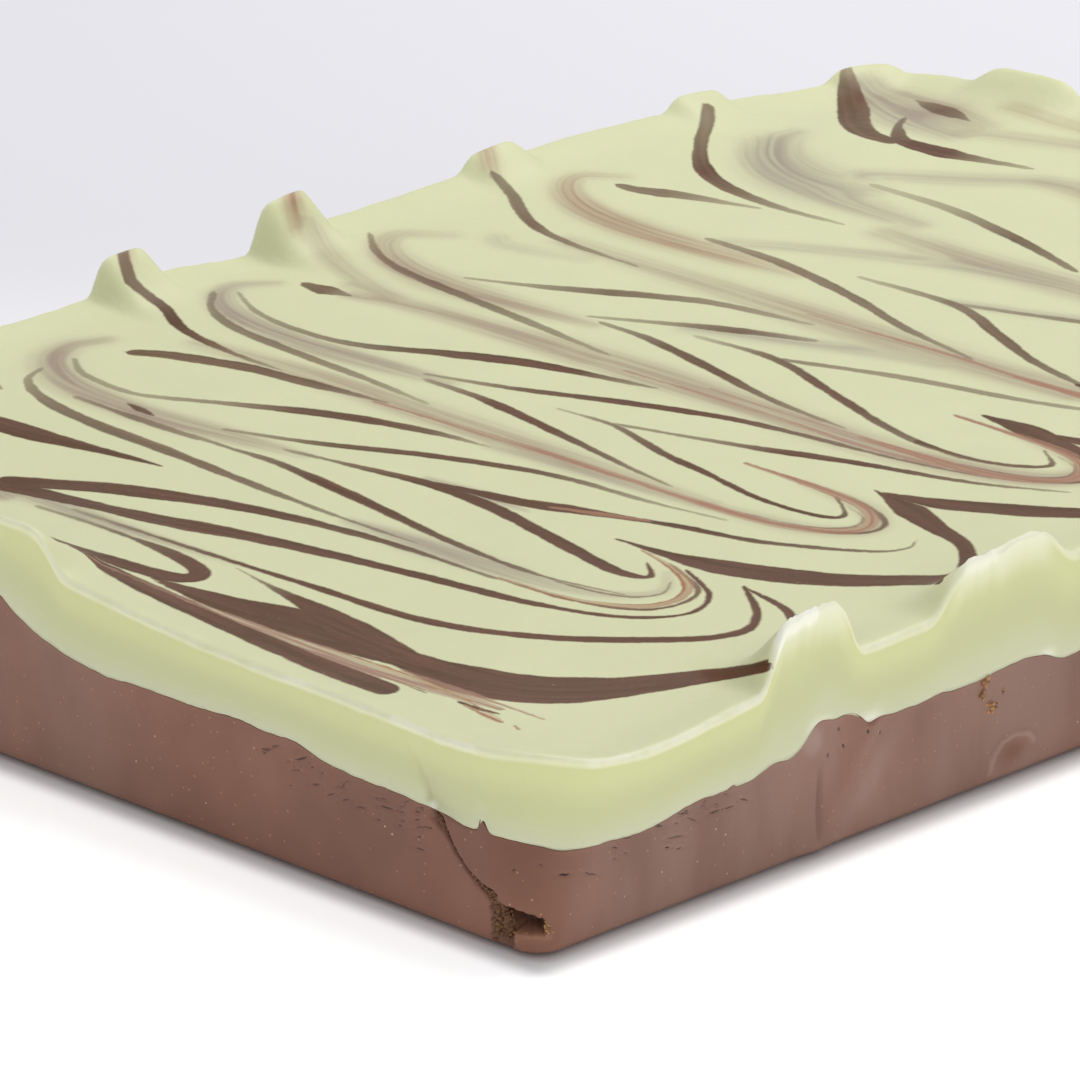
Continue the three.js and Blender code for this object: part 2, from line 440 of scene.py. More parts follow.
# The corner of the marbling: a thick band round the near corner, the tool's first turn and the lines that
# lean from it towards the first full stroke.
CORNER_STROKES = (
    chocolate((19.8, 112), (20, 98), (20.8, 88), (22.6, 78), (23.2, 64), (22.6, 50), (22.9, 43.5),
              (24.5, 34.5), (28.5, 26.8), (35.8, 20.4), (43.8, 16.1), (51.2, 12.7), (57, 10.3), (63, 9.2),
              (69, 10.5), (75, 13),
              w=(0.3, 1.6, 3.2, 5.0, 5.2, 2.8, 3.0, 4.2, 6.0, 6.4, 5.9, 4.3, 3.4, 2.5, 1.8, 1.0)),
    chocolate((80, 18), (84.5, 26), (86.8, 36.5), w=(1.3, 0.9, 0.4)),
    chocolate((33, 105), (30.4, 92), (29.4, 85.5), (28, 79), (26, 70), (25, 62), (24.6, 54),
              w=(0.3, 0.5, 1.4, 2.8, 3.8, 3.4, 1.4), s=(0.2, 0.7, 1, 1, 1, 1, 1)),
    chocolate((20, 132), (17.3, 118), (15.2, 104), (13.3, 88), (11.8, 72), (10.7, 56), (10.6, 46.2),
              w=(0.5, 1.7, 2.2, 2.3, 2.6, 2.9, 2.6)),
    chocolate((19, 110), (18.6, 90), (18.9, 74), (19.8, 60), (21, 50), w=(0.15, 2.0, 2.5, 2.2, 1.2)),
    chocolate((14.9, 33), (15, 28.5), (15.5, 24.6), w=(0.4, 0.9, 0.4)),
    toffee((14.2, 31), (13.7, 26), (13.2, 21.5), w=(0.3, 0.7, 0.5), warm=1.0),
    chocolate((14.2, 68), (14.4, 52), (14.1, 40), w=(0.3, 0.45, 0.2), s=(0.8,)),
    chocolate((21, 144), (20.9, 124), (22, 111), (25, 106.6), (28.4, 110), (30.5, 121), (30.8, 138),
              (30, 152), w=(0.3, 0.8, 1.9, 2.2, 1.7, 0.8, 0.6, 0.8), s=(0.8, 1, 1, 1, 1, 0.8, 0.5, 0.3)),
    chocolate((33.4, 146), (34.5, 114), (35.7, 92), (37.6, 64), (46, 44.5), (60, 28.5), (70.5, 22.6),
              (79, 26.5), (87, 37), w=(0.8, 0.7, 0.75, 1.0, 1.3, 1.3, 1.4, 1.1, 0.5),
              s=(0.2, 0.7, 1, 1, 1, 1, 1, 1, 1)),
    chocolate((33.5, 163), (39.5, 135), (46, 112), (52.3, 80), (56, 58), (62, 42), (71, 35), (80, 38.6),
              (86, 49.5), w=(2.6, 1.7, 2.6, 1.8, 1.3, 1.3, 0.75, 0.65, 0.4)),
    chocolate((35.5, 165), (46, 148), (55, 125), (59.7, 98), (60.4, 70), w=(2.6, 2.7, 1.7, 1.0, 0.5),
              s=(1, 1, 1, 0.9, 0.6)),
    chocolate((47, 207), (53.5, 194), (55.3, 178), (58, 162), (59.4, 152), w=(1.4, 3.2, 3.0, 1.5, 0.3)),
    smear((29.5, 160), (30, 185), (34, 204), (41.5, 211), (49, 206), w=(1.8, 2.4, 2.6, 2.4, 1.8),
          s=(0.8, 0.8, 0.8, 0.6), warm=0.3),
    smear((33, 160), (33, 130), (34.6, 106), w=(2.2, 1.8, 0.9), s=(0.75, 0.7, 0.3), warm=0.2),
    toffee((18.7, 128), (17, 106), (15.9, 84), (15.5, 60), (16.2, 46), (16.8, 34), (17.4, 26),
           w=(0.2, 0.5, 0.7, 1.4, 2.2, 2.0, 0.9), warm=0.2),
    toffee((18.6, 50), (18.9, 31), (18.9, 17.5), w=(0.6, 0.8, 0.3), warm=0.35),
    toffee((17.2, 64), (17.5, 48), (16.8, 37), (15.4, 29), (14.2, 23), w=(0.2, 0.7, 0.7, 0.5, 0.2),
           warm=1.0),
    toffee((13.6, 19), (12.9, 17.4), w=(0.3, 0.5), warm=0.8),
)

# The first full stroke of the tool, between its turns at the near and the far side.
FIRST_STROKES = (
    toffee((60.9, 70), (62, 55), (67, 44), (73.5, 40.9), (80, 43.6), (84.8, 51), (88, 62),
           w=(0.4, 0.8, 1.0, 1.1, 1.0, 0.8, 0.3), warm=1.0),
    chocolate((60.6, 72), (61.8, 54), (66.5, 42.4), (73.5, 39.2), (80.8, 42), (86.5, 54),
              w=(0.3, 0.4, 0.6, 0.6, 0.6, 0.3), s=(0.5, 0.8, 0.9, 0.9, 0.8, 0.4)),
    chocolate((80, 206), (74, 203), (69, 193), (66.4, 178), (65.5, 156), (63.9, 132), (63, 108),
              (63.2, 92), w=(0.7, 1.5, 1.8, 1.7, 1.4, 1.0, 0.6, 0.3),
              s=(0.3, 0.7, 0.8, 0.8, 0.8, 0.7, 0.5, 0.3)),
    smear((62.6, 108), (63.8, 78), (65, 60), (69.5, 49), (76, 45.5), (83, 51),
          w=(1.4, 3.0, 2.6, 1.6, 1.2, 0.8), s=(0.5, 0.85, 0.85, 0.7, 0.6, 0.3), warm=0.15),
    chocolate((66.6, 62), (67.8, 53), (70.6, 46.8), (75.2, 44.9), (80, 47.6), w=(0.4, 0.6, 0.6, 0.5, 0.2),
              s=(0.5, 0.6, 0.55, 0.5, 0.3)),
    chocolate((74, 165), (74.4, 150), (74.8, 138), (71.5, 112), (67.8, 88), (66.8, 66), (70, 49),
              w=(0.7, 0.9, 1.4, 1.4, 0.9, 0.6, 0.35), s=(0.3, 0.7, 1, 1, 0.9, 0.7, 0.4)),
    smear((99, 210), (92, 212), (84, 207.5), (78, 196), (76.2, 180), (77, 166), (79.5, 150), (81, 138),
          w=(2.0, 2.9, 3.2, 3.1, 2.9, 3.0, 2.4, 1.2), s=(0.5, 0.9, 0.95, 0.95, 0.9, 0.8, 0.7, 0.4),
          warm=0.3),
    chocolate((88, 206), (83.5, 198.5), (82.2, 186), (84.4, 179), (91, 167), (100, 149), (105.4, 130.5),
              (107, 118), w=(0.9, 1.3, 1.3, 1.4, 1.8, 1.8, 1.3, 0.6),
              s=(0.3, 0.4, 0.4, 0.6, 0.95, 1, 0.9, 0.2)),
    chocolate((78, 180.5), (77.3, 176.5), (76.7, 172.5), w=(0.5, 1.2, 0.3), s=(0.9,)),
    chocolate((73.8, 190), (73.6, 172), (73.8, 158), w=(0.7, 1.3, 1.0), s=(0.3, 0.6, 0.5)),
    chocolate((98.2, 200.5), (102, 194), (106.6, 180), (108.5, 166), (111, 148),
              w=(1.9, 2.2, 1.9, 1.7, 0.6), s=(0.9, 0.9, 0.9, 0.8, 0.3)),
    chocolate((80.6, 158), (87, 141), (97, 121), (104.3, 99.5), (106.4, 78), (109, 62),
              w=(0.9, 1.2, 1.3, 1.2, 0.8, 0.5), s=(0.3, 0.9, 1, 0.9, 0.5, 0.2)),
    chocolate((80.6, 143), (83.6, 126), (85.8, 112), (85.2, 96), (80.8, 75), (77.4, 58), (79.4, 52),
              (84, 57), w=(0.7, 0.9, 1.4, 1.7, 1.6, 1.6, 1.5, 0.3), s=(0.3, 0.8, 1, 1, 1, 1, 1, 1)),
    smear((87.7, 114), (88.1, 102), (88, 90), w=(0.8, 1.5, 0.6), s=(0.6, 0.85, 0.4), warm=0.2),
    chocolate((86.8, 112), (90.6, 94), (95, 82.5), (101, 65.5), (105, 51), (114, 35), (120, 30.4),
              (124.5, 31.8), w=(0.6, 1.7, 2.1, 0.9, 1.0, 0.9, 0.7, 0.2),
              s=(1, 1, 1, 1, 1, 0.9, 0.8, 0.5)),
    toffee((92.4, 88), (95.4, 81), (99.4, 71), w=(0.4, 1.0, 0.4), warm=0.8),
    chocolate((88.8, 69), (89.8, 54), (93, 42.5), (100, 29), (108, 20.5), (114.5, 15.6), (121, 17.5),
              (128.6, 25), (132, 35), (135.4, 44), (138.2, 54),
              w=(0.25, 1.3, 3.4, 3.7, 3.1, 2.5, 1.4, 1.5, 2.2, 3.2, 0.3)),
)

# The second stroke of the tool. The parts of it that turn at the near side repeat along the slab.
SECOND_STROKES = (
    smear((110, 196), (112, 170), (112, 140), (112, 100), (112.4, 70), w=(2.2, 3.0, 3.4, 3.0, 1.8),
          s=(0.4, 0.7, 0.8, 0.75, 0.6), warm=0.45),
    smear((107, 118), (109.5, 92), (110.6, 72), w=(1.2, 1.4, 0.8), s=(0.3, 0.5, 0.3)),
    toffee((109.8, 150), (111.2, 126), (112, 100), (112, 72), w=(0.4, 0.9, 0.9, 0.6), warm=0.55),
    chocolate((124.8, 152), (124.4, 136), (120.5, 113), (116.4, 92), (114.8, 81),
              w=(0.8, 1.4, 1.2, 0.8, 0.4), s=(0.4, 1, 1, 0.8, 0.4)),
    chocolate((130.2, 124), (130.6, 110), (126, 93.5), (124.4, 83), (121, 66), (121.6, 53), (125, 49.2),
              (131, 56.5), w=(0.5, 0.8, 0.9, 1.1, 0.8, 0.8, 0.8, 0.3),
              s=(0.2, 0.7, 0.9, 1, 1, 1, 1, 0.6)),
    chocolate((131, 112), (137, 92.5), (140.2, 83), (146.5, 66), (153, 45), (161, 29.5),
              w=(0.7, 1.0, 1.5, 1.1, 0.9, 0.5), s=(0.5, 0.6, 1, 1, 0.8, 0.3)),
    chocolate((127, 154), (132, 138.5), (140, 120), (147.5, 100), (150.4, 84), (153, 62), (157, 44),
              w=(0.9, 1.2, 1.4, 1.3, 0.9, 0.7, 0.5), s=(0.3, 0.9, 1, 1, 0.8, 0.6, 0.3)),
    chocolate((135, 212), (129.6, 201), (127.8, 187), (130, 174), (138, 159), (145, 143), (150.6, 119),
              w=(0.7, 1.0, 1.2, 1.6, 2.2, 1.5, 0.6), s=(0.3, 0.45, 0.6, 0.9, 1, 1, 0.4)),
    smear((144, 211), (137, 215.5), (129.5, 211), (124.8, 199), (123.4, 182), (124.8, 165), (126.4, 148),
          w=(1.4, 2.2, 2.7, 2.9, 3.0, 2.6, 1.6), s=(0.4, 0.8, 0.9, 0.9, 0.85, 0.8, 0.5), warm=0.2),
    chocolate((132, 215.5), (125, 208.5), (120.5, 197), (118.6, 178), (117.5, 160), (115.6, 142),
              w=(0.7, 1.2, 1.5, 1.4, 1.2, 0.5), s=(0.3, 0.6, 0.65, 0.6, 0.5, 0.2)),
    chocolate((147.3, 206.5), (147.3, 202), (148.4, 196), w=(1.2, 2.8, 0.8), s=(0.8, 0.9, 0.4)),
    smear((148.6, 196), (151.4, 184), (153, 166), (153.4, 140), w=(1.6, 2.2, 2.4, 2.6),
          s=(0.7, 0.5, 0.5, 0.5), warm=0.35),
)
NEAR_TURN_STROKES = (
    toffee((111.8, 84), (112.8, 58), (117, 46.4), (122.6, 42.4), (128.6, 46.6), (131.8, 56), (132.6, 80),
           w=(0.6, 1.2, 1.4, 1.4, 1.4, 1.0, 0.4), warm=0.6),
    chocolate((112.2, 72), (113.4, 57), (116.8, 46), (121.6, 40.6), (127, 41.4), (131.4, 49.5),
              (132.6, 60), w=(0.3, 0.4, 0.5, 0.6, 0.6, 0.5, 0.3), s=(0.2, 0.4, 0.6, 0.8, 0.8, 0.6, 0.2)),
    chocolate((113.6, 62), (116.4, 50), (121.4, 44.4), (126.4, 46), (128.8, 52),
              w=(0.3, 0.35, 0.4, 0.4, 0.3), s=(0.2, 0.4, 0.5, 0.5, 0.2)),
    smear((112, 70), (115, 50), (122.4, 41.4), (130, 48), (132.4, 66), w=(1.6, 2.2, 2.0, 2.0, 1.0),
          s=(0.5, 0.6, 0.6, 0.6, 0.3), warm=0.4),
)
NEAR_SCALLOP = chocolate((138.4, 52), (140.4, 43), (146, 33), (152, 24), (159.5, 17), (167, 20),
                         (173.6, 29), (177.6, 42), (180.4, 56), (181, 67),
                         w=(0.6, 2.6, 3.0, 2.7, 2.4, 1.4, 1.6, 2.4, 3.0, 0.4))
NEAR_TURN_SHIFTS = ((0.0, 0.0), (45.0, -9.0), (89.0, -7.0), (134.0, -8.0), (179.0, -6.0))
NEAR_SCALLOP_SHIFTS = (0.0, 43.0, 87.0, 132.0)
HIDDEN_HOOK = chocolate((162.3, 66), (162, 55), (164.5, 46), (169.5, 41), (174.5, 47),
                        w=(0.8, 0.8, 0.8, 0.8, 0.3), s=(1, 0.9, 0.9, 0.9, 0.6))
HIDDEN_HOOK_SHIFTS = (0.0, 43.0, 88.0, 133.0)

# The later strokes of the tool, softer towards the far right.
LATER_STROKES = (
    smear((153, 200), (154, 170), (155, 140), (155.4, 105), (155, 72), (157, 52), (163, 38), (170, 33),
          w=(2.0, 2.4, 3.6, 4.0, 3.8, 3.6, 3.4, 2.6), s=(0.4, 0.45, 0.7, 0.85, 0.85, 0.85, 0.8, 0.7),
          warm=0.4),
    toffee((153.6, 130), (154.4, 100), (153.8, 70), (156.4, 50), w=(0.3, 0.6, 0.6, 0.4), warm=0.35),
    toffee((157.4, 112), (157, 88), (157.4, 66), w=(0.3, 0.5, 0.3), warm=0.2),
    chocolate((170, 152), (169.4, 139), (165.4, 120), (160.6, 100), (158.4, 80),
              w=(0.8, 1.4, 1.3, 1.0, 0.6), s=(0.4, 0.9, 0.95, 0.7, 0.3)),
    chocolate((176.6, 134), (177.4, 115), (171, 95), (165, 78), (162, 65), (161.6, 55),
              w=(0.9, 1.3, 1.2, 1.2, 1.0, 0.8), s=(0.15, 0.8, 0.95, 0.95, 0.8, 0.6)),
    chocolate((178, 114), (186, 92), (192, 68), (196.5, 55), w=(1.0, 1.4, 1.4, 1.0),
              s=(0.6, 0.5, 0.5, 0.4)),
    smear((179, 138), (185, 124), (192, 107), (196, 92), w=(2.0, 2.2, 2.2, 1.8), s=(0.5, 0.7, 0.6, 0.4)),
    smear((199.6, 190), (200, 150), (200, 118), (200.4, 90), (201.4, 64), w=(2.4, 3.2, 4.2, 4.0, 3.4),
          s=(0.45, 0.55, 0.75, 0.8, 0.75), warm=0.4),
    toffee((200.4, 128), (201.4, 98), (201, 74), w=(0.3, 0.7, 0.4), warm=0.4),
    chocolate((177, 220), (170, 211), (165.6, 199), (163.2, 182), (160.6, 160), (157.8, 138),
              w=(0.8, 1.3, 1.6, 1.5, 1.3, 0.6), s=(0.4, 0.6, 0.65, 0.6, 0.5, 0.2)),
    smear((187, 208), (180, 215.5), (172.6, 211.5), (167.4, 201), (165.4, 186), (166, 170), (168, 152),
          w=(1.6, 2.2, 3.0, 3.4, 3.2, 2.8, 1.6), s=(0.3, 0.6, 0.9, 0.9, 0.85, 0.7, 0.4), warm=0.45),
    chocolate((171, 188), (175, 179), (179, 171), (188, 155.5), (193, 144), (196.4, 124),
              w=(0.8, 1.4, 2.0, 1.9, 1.6, 0.8), s=(0.3, 0.5, 0.8, 0.65, 0.5, 0.2)),
    chocolate((171, 156), (177, 145), (183.4, 133), (190, 117), w=(0.9, 1.4, 1.9, 1.2),
              s=(0.3, 0.5, 0.85, 0.3)),
    smear((192, 201), (190, 196), (194, 180), w=(2.0, 2.0, 1.6), s=(0.35, 0.3, 0.2)),
    chocolate((219, 229), (213, 218), (203.4, 203.5), (199.4, 190), (198.4, 170),
              w=(1.3, 1.6, 1.5, 1.2, 0.7), s=(0.6, 0.7, 0.85, 0.5, 0.25)),
    smear((236, 210), (229.6, 216.5), (221.6, 211.5), (216, 200), (213.8, 184), (214.6, 164), (216, 146),
          w=(1.4, 2.2, 3.0, 3.6, 3.6, 3.2, 2.0), s=(0.3, 0.7, 0.95, 0.95, 0.85, 0.7, 0.4), warm=0.75),
    chocolate((231.4, 206.5), (231.8, 202.5), (235.6, 193), (240, 178), w=(1.4, 2.8, 1.8, 0.8),
              s=(0.7, 0.75, 0.5, 0.25)),
    chocolate((219.6, 172), (218.6, 152), (213.4, 129), (207, 110), (202.6, 90),
              w=(1.2, 1.7, 1.5, 1.3, 0.7), s=(0.4, 0.65, 0.75, 0.7, 0.3)),
    chocolate((223, 136), (223.2, 112), (216, 95), (209.6, 81), (205.6, 66), w=(0.9, 1.4, 1.4, 1.2, 0.9),
              s=(0.2, 0.6, 0.85, 0.85, 0.6)),
    smear((221, 168), (230, 152), (238, 135), (246, 108), w=(2.0, 2.4, 2.6, 2.2),
          s=(0.4, 0.5, 0.55, 0.4)),
    smear((224, 114), (230, 98), (237, 84), w=(1.4, 1.8, 1.6), s=(0.6, 0.55, 0.4)),
    smear((246, 150), (245, 128), (246.4, 104), (247, 80), w=(3.2, 4.2, 4.0, 3.2),
          s=(0.5, 0.7, 0.75, 0.7), warm=0.3),
    chocolate((280, 230), (272, 222.5), (262, 214.5), (251, 203.5), (245.4, 192), (243, 176), (244, 160),
              w=(1.6, 1.6, 1.6, 2.0, 1.8, 1.4, 0.8), s=(0.7, 0.7, 0.85, 1, 0.8, 0.5, 0.2)),
    smear((280, 206), (272, 204), (264, 198), (257.6, 187), (255, 170), (254, 150),
          w=(2.4, 3.8, 4.6, 4.6, 3.6, 2.4), s=(0.4, 0.7, 0.8, 0.75, 0.7, 0.5), warm=0.1),
    chocolate((266, 172), (265.4, 152), (260.4, 130), (254, 110), w=(1.4, 2.0, 1.7, 1.0),
              s=(0.15, 0.4, 0.85, 0.6)),
    smear((270, 178), (280, 164), (292, 148), (298, 130), w=(2.4, 2.8, 2.6, 2.0), s=(0.5, 0.6, 0.5, 0.3)),
    chocolate((322, 232), (309, 218), (301, 209.5), (294, 203), (289.6, 196), (289, 189),
              w=(1.2, 1.8, 2.8, 3.4, 3.2, 2.0), s=(0.35, 0.6, 0.9, 0.95, 0.9, 0.9)),
    chocolate((303, 197.6), (299, 195.6), (295, 192.4), (290.8, 187), (291, 175), (295, 158),
              w=(0.3, 1.4, 2.4, 3.0, 1.8, 1.2), s=(0.5, 0.8, 1, 1, 0.6, 0.3)),
    chocolate((313.4, 204), (312.6, 200.5), (311.6, 195.5), (310.6, 190.5), (309.8, 187),
              w=(0.3, 2.2, 2.9, 2.3, 0.3), s=(0.4, 0.7, 0.8, 0.7, 0.4)),
    smear((315, 220), (308, 208), (303, 197), (300.6, 184), w=(3.0, 5.0, 5.4, 3.4),
          s=(0.7, 0.85, 0.85, 0.6), warm=0.1),
    smear((312.8, 208), (311.4, 196), (309, 184), w=(3.6, 5.0, 3.4), s=(0.6, 0.9, 0.5), warm=0.3),
    smear((272, 205), (265, 196), (261.6, 184), (263, 172), w=(4.4, 6.0, 6.0, 4.0),
          s=(0.5, 0.55, 0.55, 0.4)),
    smear((304, 182), (309, 170), (313, 160), w=(2.6, 2.8, 2.6), s=(0.4, 0.5, 0.55), warm=0.3),
    smear((322, 186), (321, 172), (322, 150), w=(2.8, 2.4, 2.0), s=(0.4, 0.4, 0.3), warm=0.8),
)
HIDDEN_LEANS = (
    chocolate((269, 110), (262, 92), (254, 76), (250, 62), w=(1.0, 1.3, 1.2, 0.9),
              s=(0.5, 0.9, 0.9, 0.7)),
    chocolate((268, 112), (276, 92), (283, 70), (290, 50), w=(0.9, 1.3, 1.2, 0.8),
              s=(0.5, 0.8, 0.8, 0.5)),
    chocolate((224, 112), (232, 90), (238, 70), (243, 52), w=(0.8, 1.2, 1.1, 0.8),
              s=(0.3, 0.5, 0.7, 0.5)),
    smear((290, 150), (290.6, 120), (291, 92), (292, 66), w=(2.6, 3.6, 3.6, 2.8), s=(0.4, 0.7, 0.75, 0.7),
          warm=0.45),
    chocolate((308, 150), (303, 128), (297, 106), (293.6, 84), w=(1.2, 1.5, 1.2, 0.6),
              s=(0.4, 0.9, 0.9, 0.4)),
    chocolate((313, 118), (306, 96), (299, 76), (296, 60), w=(0.8, 1.2, 1.1, 0.8),
              s=(0.4, 0.9, 0.9, 0.7)),
)

# Where chocolate was dragged over the far rim.
RIM_STREAKS = (
    chocolate((131, 239), (126, 232), (121.5, 221), (119, 214.5), (113.4, 204), (110.4, 188), (110, 174),
              w=(1.3, 1.5, 1.3, 1.2, 1.1, 0.9, 0.5), s=(0.7, 0.8, 0.9, 1, 0.95, 0.6, 0.2)),
    smear((134, 242), (129, 236), (126.4, 231.6), w=(1.3, 1.5, 0.8), s=(0.9, 0.9, 0.3), warm=1.0),
    chocolate((86, 240), (80, 232), (75, 219), (71, 211), (67.4, 203), w=(1.2, 1.6, 1.2, 1.1, 0.6),
              s=(0.6, 0.8, 1, 0.9, 0.4)),
    smear((89, 242), (84.6, 238), (82, 234.6), w=(1.3, 1.5, 0.8), s=(0.95, 0.95, 0.3), warm=1.0),
    smear((174, 239), (169.6, 233), (166, 228), w=(1.3, 1.6, 0.9), s=(0.95, 0.95, 0.4), warm=0.9),
    smear((226, 239), (221, 232), (217, 226), w=(1.3, 1.6, 0.9), s=(0.7, 0.7, 0.3), warm=0.8),
    smear((171, 229), (163, 217), (157.6, 205), (153.4, 190), w=(1.6, 2.2, 2.2, 2.0),
          s=(0.4, 0.55, 0.5, 0.4), warm=0.35),
)


@dataclass
class Marbling:
    """The chocolate drawn through the mint layer's top with a tool."""

    sample_step: float = 0.5
    coarse_step: float = 2.0
    reach: float = 2.4
    outside: float = -6.0
    clear: float = 5.2
    soft_reach: float = 2.6
    faint_width: float = 0.6
    faint_power: float = 0.6
    smear_width: float = 1.3
    smear_flatness: float = 2.6
    sheets: tuple[tuple[Tone, int], ...] = ((Tone.CHOCOLATE, 6), (Tone.TOFFEE, 3))

    def strokes(self) -> list[Stroke]:
        """Gather the strokes.

        Returns:
            All of them, in the order in which they are shared out.
        """
        strokes = [*CORNER_STROKES, *FIRST_STROKES, *SECOND_STROKES]
        strokes += [*LATER_STROKES, *HIDDEN_LEANS, *RIM_STREAKS]
        for shift in NEAR_TURN_SHIFTS:
            strokes += [stroke.moved(*shift) for stroke in NEAR_TURN_STROKES]
        strokes += [NEAR_SCALLOP.moved(along) for along in NEAR_SCALLOP_SHIFTS]
        strokes += [HIDDEN_HOOK.moved(along) for along in HIDDEN_HOOK_SHIFTS]
        return strokes

    def shared_out(self, strokes: Sequence[Stroke], count: int) -> list[list[Stroke]]:
        """Share strokes out over sheets, so that a stroke lies well clear of the others on its sheet.

        Args:
            strokes: The strokes.
            count: How many sheets there are.

        Returns:
            The sheets' strokes.
        """
        sheets: list[list[Stroke]] = [[] for _ in range(count)]
        lines: list[list[tuple[Points, float]]] = [[] for _ in range(count)]
        for stroke in strokes:
            line = stroke.sampled(self.coarse_step)[0]
            wide = max(stroke.half_widths)
            gaps = []
            for sheet in lines:
                apart = [gap_between(line, other) - wide - half for other, half in sheet]
                gaps.append(min(apart, default=np.inf))
            free = [number for number, gap in enumerate(gaps) if gap > self.clear]
            number = free[0] if free else int(np.argmax(gaps))
            sheets[number].append(stroke)
            lines[number].append((line, wide))
        return sheets

    def beside(self, stroke: Stroke, places: Points, reach: float) -> tuple[np.ndarray, Points]:
        """Places beside a stroke.

        Args:
            stroke: The stroke.
            places: Places along and across the slab.
            reach: How far from the stroke's edge a place may lie.

        Returns:
            The numbers of the places near the stroke, and for each its offset to the stroke's left, the
            stroke's half width and strength there, and how far the place lies beyond the stroke's end.
        """
        points, half_width, strong = stroke.sampled(self.sample_step)
        margin = reach + half_width.max()
        low = points.min(axis=0) - margin
        high = points.max(axis=0) + margin
        near = np.flatnonzero(((places > low) & (places < high)).all(axis=1))
        apart = np.linalg.norm(places[near, None] - points[None], axis=2)
        best = apart.argmin(axis=1)
        apart = apart[np.arange(len(near)), best]
        close = apart < half_width[best] + reach
        near, best, apart = near[close], best[close], apart[close]
        ahead = np.gradient(points, axis=0)
        heading = (ahead / np.linalg.norm(ahead, axis=1)[:, None])[best]
        away = places[near] - points[best]
        past = (away * heading).sum(axis=1)
        left = heading[:, 0] * away[:, 1] - heading[:, 1] * away[:, 0]
        last = len(points) - 1
        beyond = np.where(best == 0, -past, np.where(best == last, past, 0)).clip(0)
        left = np.where((best > 0) & (best < last), np.copysign(apart, left), left)
        return near, np.column_stack([left, half_width[best], strong[best], beyond])

    def drawn(self, places: Points) -> tuple[dict[str, Points], Points]:
        """Draw the strokes on a set of places.

        Args:
            places: Places along and across the slab.

        Returns:
            For each sheet, by name: the offset from the nearest stroke, its half width, and its strength or
            warmth. For smears: how much of them covers each place, how warm they are, and the offset from
            their middle.
        """
        strokes = self.strokes()
        layers = {}
        for tone, count in self.sheets:
            sheets = self.shared_out([stroke for stroke in strokes if stroke.tone is tone], count)
            for number, sheet in enumerate(sheets):
                layer = np.tile((0.0, self.outside, 0.0), (len(places), 1))
                for stroke in sheet:
                    near, beside = self.beside(stroke, places, self.reach)
                    if tone is Tone.CHOCOLATE:
                        beside[:, 1] *= self.faint_width + (1 - self.faint_width) * beside[:, 2]
                        beside[:, 2] **= self.faint_power
                    left = np.abs(beside[:, 0])
                    beside[:, 1] += left - np.hypot(left, beside[:, 3])
                    deeper = beside[:, 1] - np.abs(beside[:, 0]) > layer[near, 1] - np.abs(layer[near, 0])
                    layer[near[deeper]] = beside[deeper, :3]
                layers[f"{tone.value}_{number}"] = layer
        bare = np.ones(len(places))
        warm = np.zeros(len(places))
        offset = np.zeros(len(places))
        weight = np.full(len(places), 1e-6)
        for stroke in strokes:
            if stroke.tone is Tone.SMEAR:
                near, beside = self.beside(stroke, places, self.soft_reach * max(stroke.half_widths))
                spread = np.hypot(beside[:, 0], beside[:, 3]) / (self.smear_width * beside[:, 1])
                cover = beside[:, 2] * np.exp(-(spread**self.smear_flatness))
                bare[near] *= 1 - cover
                warm[near] += cover * stroke.warmth
                offset[near] += cover * beside[:, 0]
                weight[near] += cover
        return layers, np.column_stack([1 - bare, warm / weight, offset / weight])


def gap_between(line: Points, other: Points) -> float:
    """The least distance between two sets of points."""
    return float(np.linalg.norm(line[:, None] - other[None], axis=2).min())


